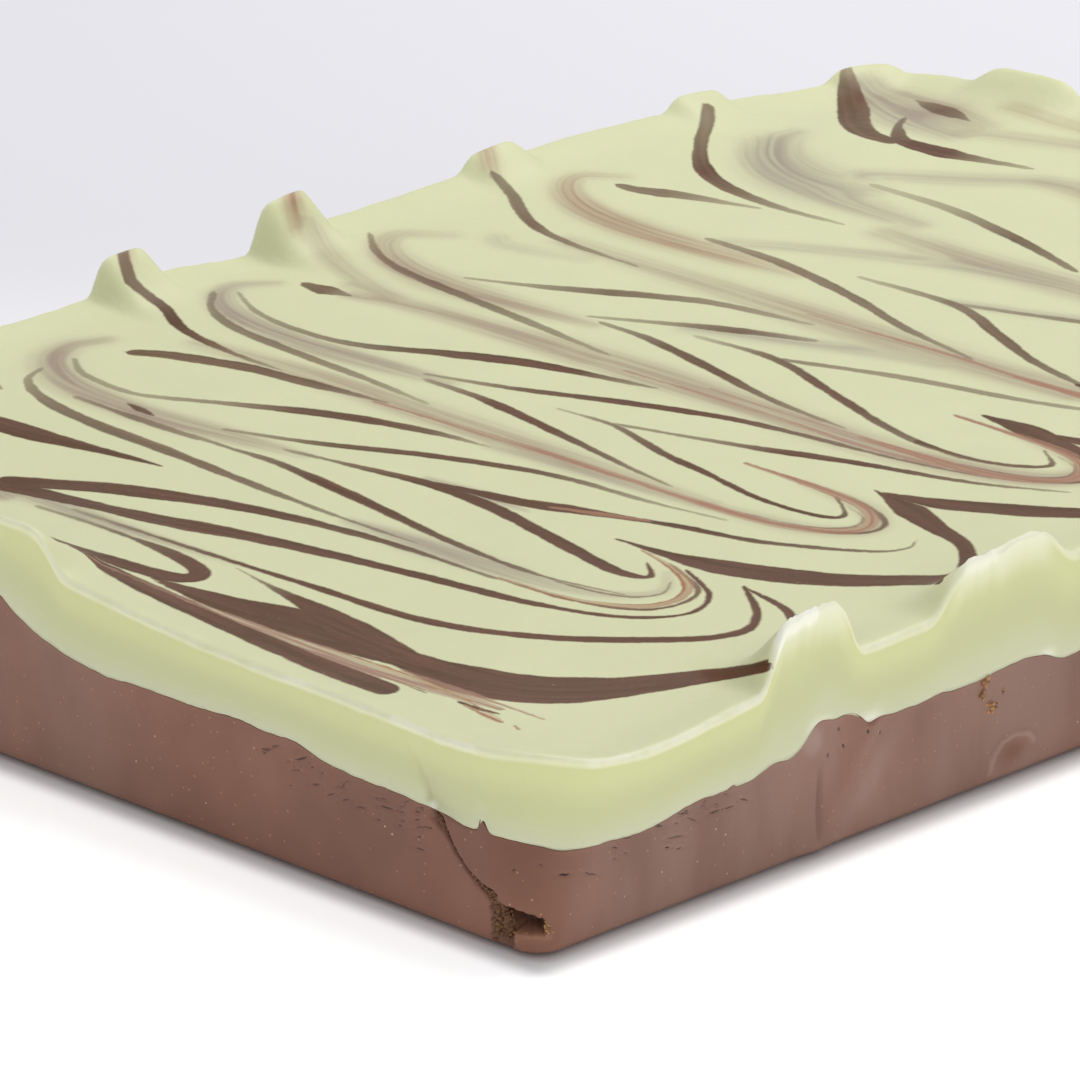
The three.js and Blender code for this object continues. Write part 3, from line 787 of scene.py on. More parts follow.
class NodeSheet:
    """Adds nodes to a node tree and links them."""

    def __init__(self, tree: NodeTree) -> None:
        """Start an empty sheet.

        Args:
            tree: The node tree to fill.
        """
        self.tree = tree
        tree.nodes.clear()

    def add(self, kind: str, **values: object) -> Node:
        """Add a node.

        Args:
            kind: The node's type.
            **values: Properties of the node, such as operation.

        Returns:
            The node.
        """
        node = self.tree.nodes.new(kind)
        for name, value in values.items():
            setattr(node, name, value)
        return node

    def feed(self, socket: NodeSocket, source: object) -> None:
        """Link a source to a socket, or set the socket to it.

        Args:
            socket: The input.
            source: A number, a colour or another node's output.
        """
        if isinstance(source, NodeSocket):
            self.tree.links.new(source, socket)
        else:
            socket.default_value = source

    def math(self, operation: str, *sources: object) -> NodeSocket:
        """A sum, product or other operation on numbers.

        Args:
            operation: The operation's name.
            *sources: Its inputs.

        Returns:
            The result.
        """
        node = self.add("ShaderNodeMath", operation=operation)
        for socket, source in zip(node.inputs, sources):
            self.feed(socket, source)
        return node.outputs[0]

    def times(self, first: object, second: object) -> NodeSocket:
        """The product of two numbers."""
        return self.math("MULTIPLY", first, second)

    def plus(self, first: object, second: object) -> NodeSocket:
        """The sum of two numbers."""
        return self.math("ADD", first, second)

    def vectors(self, operation: str, *sources: object) -> Node:
        """An operation on vectors.

        Args:
            operation: The operation's name.
            *sources: Its inputs.

        Returns:
            The node.
        """
        node = self.add("ShaderNodeVectorMath", operation=operation)
        for socket, source in zip(node.inputs, sources):
            self.feed(socket, source)
        return node

    def ramp(
        self, source: object, low: float, high: float, start: float = 0.0, end: float = 1.0
    ) -> NodeSocket:
        """Ease a number from one range to another.

        Args:
            source: The number.
            low: Where the result is start.
            high: Where the result is end.
            start: Result at low.
            end: Result at high.

        Returns:
            The result.
        """
        node = self.add("ShaderNodeMapRange", interpolation_type="SMOOTHSTEP")
        for name, value in (("From Min", low), ("From Max", high), ("To Min", start), ("To Max", end)):
            node.inputs[name].default_value = value
        self.feed(node.inputs["Value"], source)
        return node.outputs["Result"]

    def mix(self, share: object, first: object, second: object) -> NodeSocket:
        """Mix two colours.

        Args:
            share: How much of the second.
            first: A colour.
            second: Another colour.

        Returns:
            The mixed colour.
        """
        node = self.add("ShaderNodeMix", data_type="RGBA")
        self.feed(node.inputs["Factor"], share)
        self.feed(node.inputs["A"], first)
        self.feed(node.inputs["B"], second)
        return node.outputs["Result"]

    def spread(self, source: object, start: float, end: float) -> NodeSocket:
        """Spread the middle values of a noise over a range."""
        return self.ramp(source, 0.3, 0.7, start, end)

    def noise(self, place: object, scale: object, detail: float = 2.0, rough: float = 0.5) -> NodeSocket:
        """Smooth noise from 0 to 1.

        Args:
            place: Coordinates.
            scale: Lumps in a metre.
            detail: How many finer noises are added.
            rough: How strong those are.

        Returns:
            The noise.
        """
        node = self.add("ShaderNodeTexNoise")
        self.feed(node.inputs["Vector"], place)
        self.feed(node.inputs["Scale"], scale)
        node.inputs["Detail"].default_value = detail
        node.inputs["Roughness"].default_value = rough
        return node.outputs["Fac"]

    def wander(self, place: object, scale: float, size: float) -> NodeSocket:
        """Noise on both sides of 0, at most half of size away from it."""
        return self.times(self.math("SUBTRACT", self.noise(place, scale), 0.5), size)

    def object_place(self) -> NodeSocket:
        """The surface's place in the part's frame."""
        return self.add("ShaderNodeTexCoord").outputs["Object"]

    def stretched(self, place: object, scale: Axes) -> NodeSocket:
        """Coordinates scaled by axis.

        Args:
            place: The coordinates.
            scale: What each axis is multiplied by.

        Returns:
            The scaled coordinates.
        """
        node = self.add("ShaderNodeMapping")
        self.feed(node.inputs["Vector"], place)
        node.inputs["Scale"].default_value = scale
        return node.outputs["Vector"]

    def along_stroke(self, place: object, offset: object, across: float) -> NodeSocket:
        """Noise in streaks that run along a stroke.

        Args:
            place: The place.
            offset: The offset from the stroke's middle, in millimetres.
            across: How many streaks there are to a millimetre.

        Returns:
            The noise, from 0 to 1.
        """
        shift = self.add("ShaderNodeCombineXYZ")
        self.feed(shift.inputs["X"], self.times(offset, across))
        moved = self.vectors("ADD", self.stretched(place, STREAK_DRIFT), shift.outputs["Vector"])
        return self.noise(moved.outputs["Vector"], scale=1.0, detail=1.0)

    def attribute(self, name: str) -> list[NodeSocket]:
        """The three numbers of one of the mesh's own attributes.

        Args:
            name: The attribute's name.

        Returns:
            The numbers.
        """
        source = self.add("ShaderNodeAttribute", attribute_name=name)
        split = self.add("ShaderNodeSeparateXYZ")
        self.feed(split.inputs[0], source.outputs["Vector"])
        return list(split.outputs)


Colour = tuple[float, float, float, float]


def colour(red: float, green: float, blue: float) -> Colour:
    """A colour given as seen on a screen, from 0 to 255, in the linear values that shaders take."""

    def linear(value: float) -> float:
        """One channel without the screen's curve."""
        share = value / 255
        return share / 12.92 if share <= 0.04045 else ((share + 0.055) / 1.055) ** 2.4

    return (linear(red), linear(green), linear(blue), 1.0)


def new_group(name: str, inputs: Sequence[tuple[str, str]], outputs: Sequence[tuple[str, str]]) -> tuple:
    """Start a shader node group.

    Args:
        name: The group's name.
        inputs: Names and socket types of its inputs.
        outputs: Names and socket types of its outputs.

    Returns:
        The group, a sheet to fill it, its input node and its output node.
    """
    group = bpy.data.node_groups.new(name, "ShaderNodeTree")
    for socket, kind in inputs:
        group.interface.new_socket(socket, in_out="INPUT", socket_type=kind)
    for socket, kind in outputs:
        group.interface.new_socket(socket, in_out="OUTPUT", socket_type=kind)
    sheet = NodeSheet(group)
    return group, sheet, sheet.add("NodeGroupInput"), sheet.add("NodeGroupOutput")


@dataclass(frozen=True)
class ChocolateTones:
    """Colours of the milk chocolate, shared by the base, its crumbs and the marbling."""

    light: Colour = colour(136, 92, 72)
    dark: Colour = colour(110, 72, 55)
    ochre: Colour = colour(172, 120, 80)
    pale: Colour = colour(196, 172, 150)
    patch_scale: float = 32.0
    speck_scale: float = 720.0
    speck_size: float = 0.16
    speck_core: float = 0.6
    ochre_lot: float = 37.0
    ochre_chance: Span = (0.62, 0.68)
    pale_lot: float = 53.0
    pale_chance: Span = (0.95, 0.97)

    def group(self) -> NodeTree:
        """Build the node group that gives the chocolate's colour.

        Returns:
            A group with a Place input and a Color output.
        """
        name = "milk_chocolate"
        if name in bpy.data.node_groups:
            return bpy.data.node_groups[name]
        inputs = [("Place", "NodeSocketVector")]
        group, sheet, source, result = new_group(name, inputs, [("Color", "NodeSocketColor")])
        place = source.outputs["Place"]
        patches = sheet.ramp(sheet.noise(place, self.patch_scale, 3.0, 0.5), 0.25, 0.75)
        body = sheet.mix(patches, self.dark, self.light)
        cells = sheet.add("ShaderNodeTexVoronoi")
        sheet.feed(cells.inputs["Vector"], place)
        cells.inputs["Scale"].default_value = self.speck_scale
        lot = sheet.add("ShaderNodeSeparateColor")
        sheet.feed(lot.inputs[0], cells.outputs["Color"])
        near = sheet.ramp(cells.outputs["Distance"], self.speck_size, self.speck_size * self.speck_core)
        red, green, blue = lot.outputs
        drawn = sheet.math("FRACT", sheet.times(sheet.plus(red, green), self.ochre_lot))
        ochre = sheet.times(near, sheet.ramp(drawn, *self.ochre_chance))
        drawn = sheet.math("FRACT", sheet.times(sheet.plus(red, blue), self.pale_lot))
        pale = sheet.times(near, sheet.ramp(drawn, *self.pale_chance))
        speckled = sheet.mix(pale, sheet.mix(ochre, body, self.ochre), self.pale)
        sheet.feed(result.inputs["Color"], speckled)
        return group


def fine_grain() -> NodeTree:
    """Build the node group of the fudge's fine waxy grain.

    Returns:
        A group with Place and Scale inputs and a Height output.
    """
    name = "fudge_grain"
    if name in bpy.data.node_groups:
        return bpy.data.node_groups[name]
    group, sheet, source, result = new_group(
        name,
        [("Place", "NodeSocketVector"), ("Scale", "NodeSocketFloat")],
        [("Height", "NodeSocketFloat")],
    )
    height = sheet.noise(source.outputs["Place"], source.outputs["Scale"], 3.0, 0.55)
    sheet.feed(result.inputs["Height"], height)
    return group


def place_group(sheet: NodeSheet, group: NodeTree, **inputs: object) -> Node:
    """Put a node group in a material.

    Args:
        sheet: The material's sheet.
        group: The group.
        **inputs: Sources of its inputs.

    Returns:
        The group's node.
    """
    node = sheet.add("ShaderNodeGroup", node_tree=group)
    for name, source in inputs.items():
        sheet.feed(node.inputs[name], source)
    return node


def bumped(sheet: NodeSheet, height: object, strength: float, distance: float) -> NodeSocket:
    """A normal bent by a height.

    Args:
        sheet: The material's sheet.
        height: The height, from 0 to 1.
        strength: How much it counts.
        distance: The height of 1, in metres.

    Returns:
        The normal.
    """
    node = sheet.add("ShaderNodeBump")
    node.inputs["Strength"].default_value = strength
    node.inputs["Distance"].default_value = distance
    sheet.feed(node.inputs["Height"], height)
    return node.outputs["Normal"]


def new_material(name: str, constants: dict[str, object]) -> tuple[Material, NodeSheet, Node]:
    """Start a material with a Principled shader.

    Args:
        name: The material's name.
        constants: Values of those inputs of the shader that are the same all over.

    Returns:
        The material, a sheet to fill it and the shader.
    """
    material = bpy.data.materials.new(name)
    material.use_nodes = True
    sheet = NodeSheet(material.node_tree)
    shader = sheet.add("ShaderNodeBsdfPrincipled")
    for socket, value in constants.items():
        shader.inputs[socket].default_value = value
    sheet.feed(sheet.add("ShaderNodeOutputMaterial").inputs["Surface"], shader.outputs[0])
    return material, sheet, shader


WAXY_MINT = {
    "Subsurface Weight": 0.25,
    "Subsurface Radius": (1.0, 1.0, 0.7),
    "Subsurface Scale": 0.004,
    "IOR": 1.45,
    "Specular IOR Level": 0.2,
}
WAXY_CHOCOLATE = {"IOR": 1.45, "Specular IOR Level": 0.35}
DRY_CRUMB = {"Roughness": 0.7, "Specular IOR Level": 0.3}
# The floor's emission is painted light: the floor glows and lights the slab from below.
MATT_GLOWING_FLOOR = {"Emission Strength": 1.0, "Roughness": 0.6}


@dataclass(frozen=True)
class MintFinish:
    """Pale waxy mint fudge with chocolate marbling, painted shade on its sides and a painted highlight along
    its brink. Reads the layer's own attributes.
    """

    top: Colour = colour(220, 222, 179)
    # Painted shade: the side colours are darker and greener than the top; along the side they run from paler
    # at the join to yellower under the rim.
    under_rim: Colour = colour(209, 212, 156)
    side: Colour = colour(199, 202, 154)
    at_join: Colour = colour(205, 208, 172)
    # Milky white of torn crests, ledges and spots, also the colour of the painted highlight along the brink.
    milky: Colour = colour(247, 247, 228)
    grey_smear: Colour = colour(164, 152, 136)
    warm_smear: Colour = colour(172, 134, 102)
    pale_toffee: Colour = colour(172, 138, 120)
    warm_toffee: Colour = colour(168, 116, 80)
    deep_brown: Colour = colour(84, 55, 20)
    deepness: Span = (0.45, 0.9)
    wander_scale: float = 700.0
    waver_scale: float = 140.0
    grain_scale: float = 420.0
    grain_strength: float = 0.25
    grain_depth: float = 0.0004
    roughness: Span = (0.34, 0.46)
    edge_softness: float = 0.34
    edge_wander: float = 0.4
    edge_waver: float = 0.9
    tones: ChocolateTones = field(default_factory=ChocolateTones)

    def material(self, sheets: Sequence[tuple[Tone, int]]) -> Material:
        """Build the material.

        Args:
            sheets: Over how many sheets the strokes of each tone are shared out.

        Returns:
            The material.
        """
        material, sheet, shader = new_material("mint_fudge", WAXY_MINT)
        place = sheet.object_place()
        share, torn, on_top = sheet.attribute("layer_place")
        cover, warm, smear_offset = sheet.attribute("smear_stroke")

        # Painted shade: the sides take darker, greener colours than the top, paler near the join and
        # yellower under the rim.
        side = sheet.mix(sheet.ramp(share, 0.0, 0.4), self.at_join, self.side)
        side = sheet.mix(sheet.ramp(share, 0.45, 0.85), side, self.under_rim)
        cloudy = sheet.noise(sheet.stretched(place, (1, 1, 0.35)), 90.0, 3.0)
        mint = sheet.mix(on_top, side, self.top)

        smear_colour = sheet.mix(warm, self.grey_smear, self.warm_smear)
        streaks = sheet.along_stroke(place, smear_offset, 0.7)
        streaked = sheet.times(cover, sheet.spread(streaks, 0.7, 1.12))
        mint = sheet.mix(sheet.math("MINIMUM", streaked, 1.0), mint, smear_colour)

        ragged = sheet.wander(place, self.wander_scale, self.edge_wander)
        ragged = sheet.plus(ragged, sheet.wander(place, self.waver_scale, self.edge_waver))
        covered: dict[Tone, object] = {}
        offsets: dict[Tone, object] = {}
        toffee_warmth: object = 0.0
        for tone, count in sheets:
            covered[tone] = 0.0
            offsets[tone] = 0.0
            for number in range(count):
                offset, half_width, third = sheet.attribute(f"{tone.value}_{number}")
                depth = sheet.math("SUBTRACT", half_width, sheet.math("ABSOLUTE", offset))
                depth = sheet.plus(depth, ragged)
                inside = sheet.ramp(depth, -self.edge_softness, self.edge_softness)
                offsets[tone] = sheet.plus(offsets[tone], sheet.times(inside, offset))
                if tone is Tone.TOFFEE:
                    toffee_warmth = sheet.math("MAXIMUM", toffee_warmth, sheet.times(inside, third))
                else:
                    inside = sheet.times(inside, third)
                covered[tone] = sheet.math("MAXIMUM", covered[tone], inside)
        brown = place_group(sheet, self.tones.group(), Place=place)
        drawn = sheet.along_stroke(place, offsets[Tone.CHOCOLATE], 0.6)
        deep = sheet.mix(sheet.spread(drawn, *self.deepness), brown.outputs["Color"], self.deep_brown)
        body = sheet.mix(covered[Tone.CHOCOLATE], mint, deep)
        toffee_colour = sheet.mix(toffee_warmth, self.pale_toffee, self.warm_toffee)
        fine = sheet.along_stroke(place, offsets[Tone.TOFFEE], 1.3)
        toffee_share = sheet.times(covered[Tone.TOFFEE], sheet.ramp(fine, 0.36, 0.6, 0.5, 1.0))
        body = sheet.mix(toffee_share, body, toffee_colour)
        # Torn white, mixed in with the painted highlight along the brink that shares its mask.
        body = sheet.mix(torn, body, self.milky)

        grain_node = place_group(sheet, fine_grain(), Place=place, Scale=self.grain_scale)
        sheet.feed(shader.inputs["Base Color"], body)
        sheet.feed(shader.inputs["Roughness"], sheet.spread(cloudy, *self.roughness))
        bent = bumped(sheet, grain_node.outputs["Height"], self.grain_strength, self.grain_depth)
        sheet.feed(shader.inputs["Normal"], bent)
        return material


@dataclass(frozen=True)
class ChocolateFinish:
    """Milk-chocolate fudge with pale bloom, partly painted sheen, with specks and painted shade in its
    cavities, crease, fold and tears. Reads the base's own attributes.
    """

    # Pale bloom; over the near side it is partly painted sheen, and beside the ridge painted light.
    bloom: Colour = colour(156, 128, 115)
    # Painted shade colour: laid into the crease, the cavity, the crumbled strip, the fold groove, the tears
    # and pits, and the darker inside of the scrape.
    cavity: Colour = colour(58, 36, 28)
    crumb: Colour = colour(148, 106, 80)
    tear_wander: float = 3.0
    wander_scale: float = 1100.0
    tear_edge: Span = (1.3, 0.3)
    grain_scale: float = 900.0
    grain_strength: float = 0.2
    grain_depth: float = 0.0002
    roughness: Span = (0.42, 0.56)
    tones: ChocolateTones = field(default_factory=ChocolateTones)

    def material(self) -> Material:
        """Build the material.

        Returns:
            The material.
        """
        material, sheet, shader = new_material("chocolate_fudge", WAXY_CHOCOLATE)
        place = sheet.object_place()
        hollow, ochre, bloomed = sheet.attribute("base_shade_and_marks")
        brown = place_group(sheet, self.tones.group(), Place=place)
        smoky = sheet.noise(sheet.stretched(place, (1, 1, 0.3)), 70.0, 3.0, 0.5)
        bloom = sheet.times(bloomed, sheet.spread(smoky, 0.4, 1.1))
        body = sheet.mix(bloom, brown.outputs["Color"], self.bloom)
        body = sheet.mix(ochre, body, self.crumb)
        # Painted shade in the crease, the cavity, the crumbled strip and the fold groove, then in the tears
        # and pits; also the darker inside of the scrape.
        body = sheet.mix(hollow, body, self.cavity)
        body = sheet.mix(self.tear_share(sheet, place), body, self.cavity)
        grain_node = place_group(sheet, fine_grain(), Place=place, Scale=self.grain_scale)
        sheet.feed(shader.inputs["Base Color"], body)
        sheet.feed(shader.inputs["Roughness"], sheet.spread(smoky, *self.roughness))
        bent = bumped(sheet, grain_node.outputs["Height"], self.grain_strength, self.grain_depth)
        sheet.feed(shader.inputs["Normal"], bent)
        return material

    def tear_share(self, sheet: NodeSheet, place: NodeSocket) -> NodeSocket:
        """How far a place lies in a ragged tear, which takes painted shade.

        Args:
            sheet: The material's sheet.
            place: The place.

        Returns:
            A share from 0 to 1.
        """
        along, across, darkness = sheet.attribute("tear_place")
        across = sheet.plus(across, sheet.wander(place, self.wander_scale, self.tear_wander))
        reach = sheet.plus(sheet.times(along, along), sheet.times(across, across))
        return sheet.times(sheet.ramp(reach, *self.tear_edge), darkness)


@dataclass(frozen=True)
class CrumbFinish:
    """Dry crumbs of chocolate, some of them ochre."""

    brown: Colour = colour(80, 51, 37)
    ochre: Colour = colour(184, 138, 94)

    def material(self) -> Material:
        """Build the material.

        Returns:
            The material.
        """
        material, sheet, shader = new_material("fudge_crumb", DRY_CRUMB)
        tone, _, _ = sheet.attribute("crumb_tone")
        sheet.feed(shader.inputs["Base Color"], sheet.mix(tone, self.brown, self.ochre))
        return material


def deselect() -> None:
    """Leave edit mode and deselect everything."""
    if bpy.context.object and bpy.context.object.mode != "OBJECT":
        bpy.ops.object.mode_set(mode="OBJECT")
    bpy.ops.object.select_all(action="DESELECT")


def hang_rings(count: int) -> None:
    """Hang rings from the active mesh's rim, one unit apart, and close the last one.

    Args:
        count: How many rings are added.
    """
    bpy.ops.object.mode_set(mode="EDIT")
    bpy.ops.mesh.select_all(action="SELECT")
    bpy.ops.mesh.region_to_loop()
    for _ in range(count):
        bpy.ops.mesh.extrude_region_move(TRANSFORM_OT_translate={"value": (0.0, 0.0, -1.0)})
    bpy.ops.mesh.edge_face_add()
    bpy.ops.object.mode_set(mode="OBJECT")


def coordinates(mesh: Mesh) -> Points:
    """The mesh's vertices, three numbers each."""
    values = np.empty(len(mesh.vertices) * 3, np.float32)
    mesh.vertices.foreach_get("co", values)
    return values.reshape(-1, 3).astype(float)


def set_coordinates(mesh: Mesh, points: Points) -> None:
    """Place the mesh's vertices, given in millimetres."""
    mesh.vertices.foreach_set("co", (points * MM).astype(np.float32).ravel())
    mesh.update()


def set_attribute(mesh: Mesh, name: str, values: Points) -> None:
    """Store three numbers at each vertex.

    Args:
        mesh: The mesh.
        name: The attribute's name.
        values: Up to three numbers for each vertex.
    """
    padded = np.zeros((len(mesh.vertices), 3), np.float32)
    padded[:, : values.shape[1]] = values
    mesh.attributes.new(name, "FLOAT_VECTOR", "POINT").data.foreach_set("vector", padded.ravel())


def finish_piece(piece: Object, material: Material, node: str | None = None) -> None:
    """Smooth a piece, dress it and tie it to the part.

    Args:
        piece: The piece.
        material: Its material.
        node: The node that it stands for, if any.
    """
    deselect()
    piece.select_set(True)
    bpy.context.view_layer.objects.active = piece
    bpy.ops.object.mode_set(mode="EDIT")
    bpy.ops.mesh.select_all(action="SELECT")
    bpy.ops.mesh.normals_make_consistent(inside=False)
    bpy.ops.object.mode_set(mode="OBJECT")
    bpy.ops.object.shade_smooth()
    piece.data.materials.clear()
    piece.data.materials.append(material)
    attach(piece, BODY)
    if node:
        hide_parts(node)
    LOG.info("%s: %d faces", piece.name, len(piece.data.polygons))


@dataclass
class MintLayer:
    """The mint layer: a fine skin over its top and sides, with torn crests and the marbling."""

    form: SlabForm = FORM
    near_step: float = 0.6
    far_step: float = 1.7
    brink_insets: tuple[float, ...] = (0.0, 0.05, 0.2, 0.45, 0.8, 1.25, 1.8, 2.5)
    rim_round: float = 1.1
    side_rows: int = 20
    under_insets: tuple[float, ...] = (6.0, 18.0, 40.0)
    torn_peaks: tuple[int, ...] = (0, 1)
    torn_height: float = 7.0
    torn_core: float = 0.6
    ledges: tuple[Axes, ...] = (
        (55.0, 66.6, 1.0), (66.0, 72.6, 0.5), (101.0, 111.0, 0.8), (110.0, 121.5, 0.55),
    )
    ledge_ease: float = 1.2
    ledge_depth: float = 2.2
    # Painted highlight along the brink: its base strength, its easing and the stretches where it is
    # brighter.
    faint_glint: float = 0.62
    glint_ease: float = 3.0
    glints: tuple[Axes, ...] = ((-60.0, -52.0, 0.4), (-35.0, -13.0, 0.7), (10.0, 57.0, 0.4))
    fold: tuple[Span, ...] = ((-24.6, 20.5), (-25.2, 21.2), (-28.3, 27.3), (-32.8, 33.1))
    milky_spots: tuple[tuple[float, float, float, float], ...] = (
        (78.3, 20.9, 2.6, 1.5), (122.5, 20.6, 2.0, 1.0), (-24.4, 21.0, 0.9, 0.8), (66.0, 23.6, 2.2, 1.0),
    )
    lean: float = 1.93
    lean_limit: float = 3.6
    near_lean_limit: float = 9.0

    def spaced(self, size: float) -> Values:
        """Places of the grid's lines across one side, closest at the near corner and at both brinks.

        Args:
            size: The side's length.

        Returns:
            The places, from 0 to the length.
        """
        brink = np.array(self.brink_insets)
        inner = [brink[-1]]
        while inner[-1] < size - brink[-1]:
            share = inner[-1] / size
            inner.append(inner[-1] + self.near_step + (self.far_step - self.near_step) * share)
        stretch = (size - 2 * brink[-1]) / (inner[-1] - brink[-1])
        middle = brink[-1] + (np.array(inner) - brink[-1]) * stretch
        return np.concatenate([brink[:-1], middle[:-1], size - brink[::-1]])

    def rounded(self, plan: Points) -> Points:
        """Bend a rectangular grid's rings round the rim's corners.

        Args:
            plan: The rectangular grid's plan points.

        Returns:
            Plan points whose outermost ring is the rim's outline.
        """
        size = np.abs(plan)
        gap = self.form.half - size
        inset = gap.min(axis=1)
        radius = np.maximum(self.form.rim_corner - inset, self.form.smallest_radius)
        back = gap.max(axis=1) - inset
        lean = np.clip(1 - back / radius, 0, 1) * math.pi / 4
        on_end = gap[:, 0] <= gap[:, 1]
        angle = np.where(on_end, lean, math.pi / 2 - lean)
        centre = self.form.half - (inset + radius)[:, None]
        arc = centre + radius[:, None] * np.column_stack([np.cos(angle), np.sin(angle)])
        return np.where((lean > 0)[:, None], arc * np.where(plan < 0, -1, 1), plan)

    def torn_share(self, edge: Points, inset: Values, below: Values) -> Values:
        """How far each point lies on a torn crest.

        Args:
            edge: The outline's points nearest to the points.
            inset: The points' insets.
            below: How far the points lie below the crest.

        Returns:
            A share from 0 to 1.
        """
        share = np.zeros(len(edge))
        for number in self.torn_peaks:
            peak = PEAKS[number]
            distance = np.linalg.norm(edge - self.form.peak_place(peak), axis=1)
            share = np.maximum(share, smooth_step(-distance, -peak.reach, -peak.reach * self.torn_core))
        return share * smooth_step(-inset, -3.2, -0.8) * smooth_step(-below, -self.torn_height, -0.6)

    def ledge_share(self, plan: Points) -> Values:
        """How far each point lies on a rough white ledge of a torn crest; its white is partly painted
        highlight.

        Args:
            plan: The points' plan.

        Returns:
            A share from 0 to 1.
        """
        places = self.form.to_corner(plan)
        on_near = smooth_step(-places[:, 1], -self.ledge_depth, -self.ledge_depth + 1.0)
        share = np.zeros(len(plan))
        for start, end, strength in self.ledges:
            share = np.maximum(share, strength * within(places[:, 0], start, end, self.ledge_ease))
        return share * on_near

    def build(self, marbling: Marbling, finish: MintFinish) -> Object:
        """Model the layer and dress it.

        Args:
            marbling: The chocolate in its top.
            finish: Its finish.

        Returns:
            The piece.
        """
        form = self.form
        along = self.spaced(form.length)
        across = self.spaced(form.width)
        deselect()
        bpy.ops.mesh.primitive_grid_add(
            x_subdivisions=len(along) - 1, y_subdivisions=len(across) - 1, size=2, location=(0, 0, 0)
        )
        piece = bpy.context.object
        piece.name = "mint_marbled"
        rings = self.side_rows + len(self.under_insets)
        hang_rings(rings)

        raw = coordinates(piece.data)
        row = np.rint(-raw[:, 2]).astype(int)
        columns = np.rint((raw[:, 0] + 1) / 2 * (len(along) - 1)).astype(int)
        lines = np.rint((raw[:, 1] + 1) / 2 * (len(across) - 1)).astype(int)
        grid = form.from_corner(np.column_stack([along[columns], across[lines]]))
        plan = self.rounded(grid)
        edge, inset, stations = form.outline_of(plan)
        inset = np.maximum(inset, 0)
        points = np.column_stack([plan, form.top_height(plan, edge, inset)])
        points[:, 2] += brink_fall(inset, form.rim_round) - brink_fall(inset, self.rim_round)

        torn = self.torn_share(edge, inset, np.zeros(len(points)))
        rough = grain(points, 2.2, 3.1) + 0.6 * grain(points, 0.9, 7.7)
        points[:, 2] += 0.25 * torn * (rough - 0.5)
        ledge = self.ledge_share(plan)
        points[:, 2] += ledge * (0.45 + 0.55 * rough)
        uneven = 0.22 * grain(points * (1, 1, 0), 9.0, 4.4) + 0.14 * grain(points * (1, 1, 0), 2.6, 2.7)
        points[:, 2] += uneven * smooth_step(-inset, -2.5, -0.4)
        share = np.ones(len(points))
        on_top = np.ones(len(points))

        top = points[:, 2].copy()
        smooth_join = form.join_height(edge, edge, 0.0)
        join = smooth_join + join_detail(stations)
        for number in range(1, rings + 1):
            ring = row == number
            part = stations.some(ring)
            if number <= self.side_rows:
                height = 1 - number / self.side_rows
                radius = form.corner_radius(form.join_share + (1 - form.join_share) * height)
                where = form.plan_point(part, 0.0, radius)
                level = join[ring] + (top[ring] - join[ring]) * height
                points[ring] = np.column_stack([where, level])
                share[ring] = height
            else:
                under = self.under_insets[number - self.side_rows - 1]
                where = form.plan_point(part, under, form.rim_corner - under)
                points[ring] = np.column_stack([where, form.join_height(where, edge[ring], under)])
                share[ring] = 0.0
            on_top[ring] = 0.0
        torn = self.torn_share(edge, inset, top - points[:, 2])
        # Painted highlight: a whitish line along the brink, brighter in the listed stretches and laid over
        # the rounded brink where it falls into shade; it shares the torn mask.
        turned = round_corner(plan)
        bright = np.full(len(points), self.faint_glint)
        for start, end, strength in self.glints:
            bright += strength * within(turned, start, end, self.glint_ease)
        glint_flecks = 0.75 + 0.6 * grain(points, 6.0, 6.6) + 0.4 * grain(points, 1.7, 1.6)
        glint = (bright * glint_flecks).clip(0, 0.9) * hump(inset - 0.28, 0.36)
        torn = np.maximum(0.7 * torn, np.where(row == 0, glint, 0))
        # The ledges' white is partly the torn mint's own and partly painted highlight where they face the
        # light.
        near_top = np.where(row > 0, smooth_step(points[:, 2] - top, -2.4, -1.2), 1)
        torn = np.maximum(torn, 1.25 * ledge * near_top)
        flat = flat_places(points)
        for turned, height, half_length, half_height in self.milky_spots:
            spot = np.hypot((flat[:, 0] - turned) / half_length, (flat[:, 1] - height) / half_height)
            torn = np.maximum(torn, hump(spot, 1.0) * (row > 0))
        side = (row > 0) & (row <= self.side_rows)
        sway = grain(points[side] * (1, 1, 0.25), 9.0, 1.3)
        sway += 0.5 * grain(points[side] * (1, 1, 0.4), 3.4, 5.9)
        fade = smooth_step(share[side], 0.0, 0.25) * smooth_step(-share[side], -1.0, -0.4)
        flat = flat[side]
        fold = np.interp(flat[:, 1], *np.array(self.fold).T[::-1])
        beyond_fold = flat[:, 0] - fold
        upper = smooth_step(-flat[:, 1], -self.fold[-1][1], -self.fold[1][1])
        step = smooth_step(beyond_fold, -0.3, 0.3) * np.exp(-beyond_fold.clip(0) / 5.0) * upper
        sunk = 0.16 * fade * (1 + sway) + 0.95 * step * smooth_step(share[side], 0.0, 0.12)
        points[side, :2] -= stations.normal[side] * sunk[:, None]

        on_near = smooth_step(-form.to_corner(plan)[:, 1], -8.0, -4.0)
        limit = self.lean_limit + (self.near_lean_limit - self.lean_limit) * on_near
        raised = np.clip(top - form.surface, -self.lean_limit, limit)
        layers, smeared = marbling.drawn(form.to_corner(plan) + raised[:, None] * self.lean)
        below_rim = np.where(row > 0, (0.35 + 2.0 * on_near) * (top - points[:, 2]), 0.0)
        below_rim += 12.0 * on_near * smooth_step(top - form.rim, 4.0, 6.5)
        below_rim += 8.0 * smooth_step(ledge, 0.15, 0.5)
        smeared[:, 0] *= np.where(row > 0, smooth_step(-below_rim, -0.8, 0.0), 1.0)
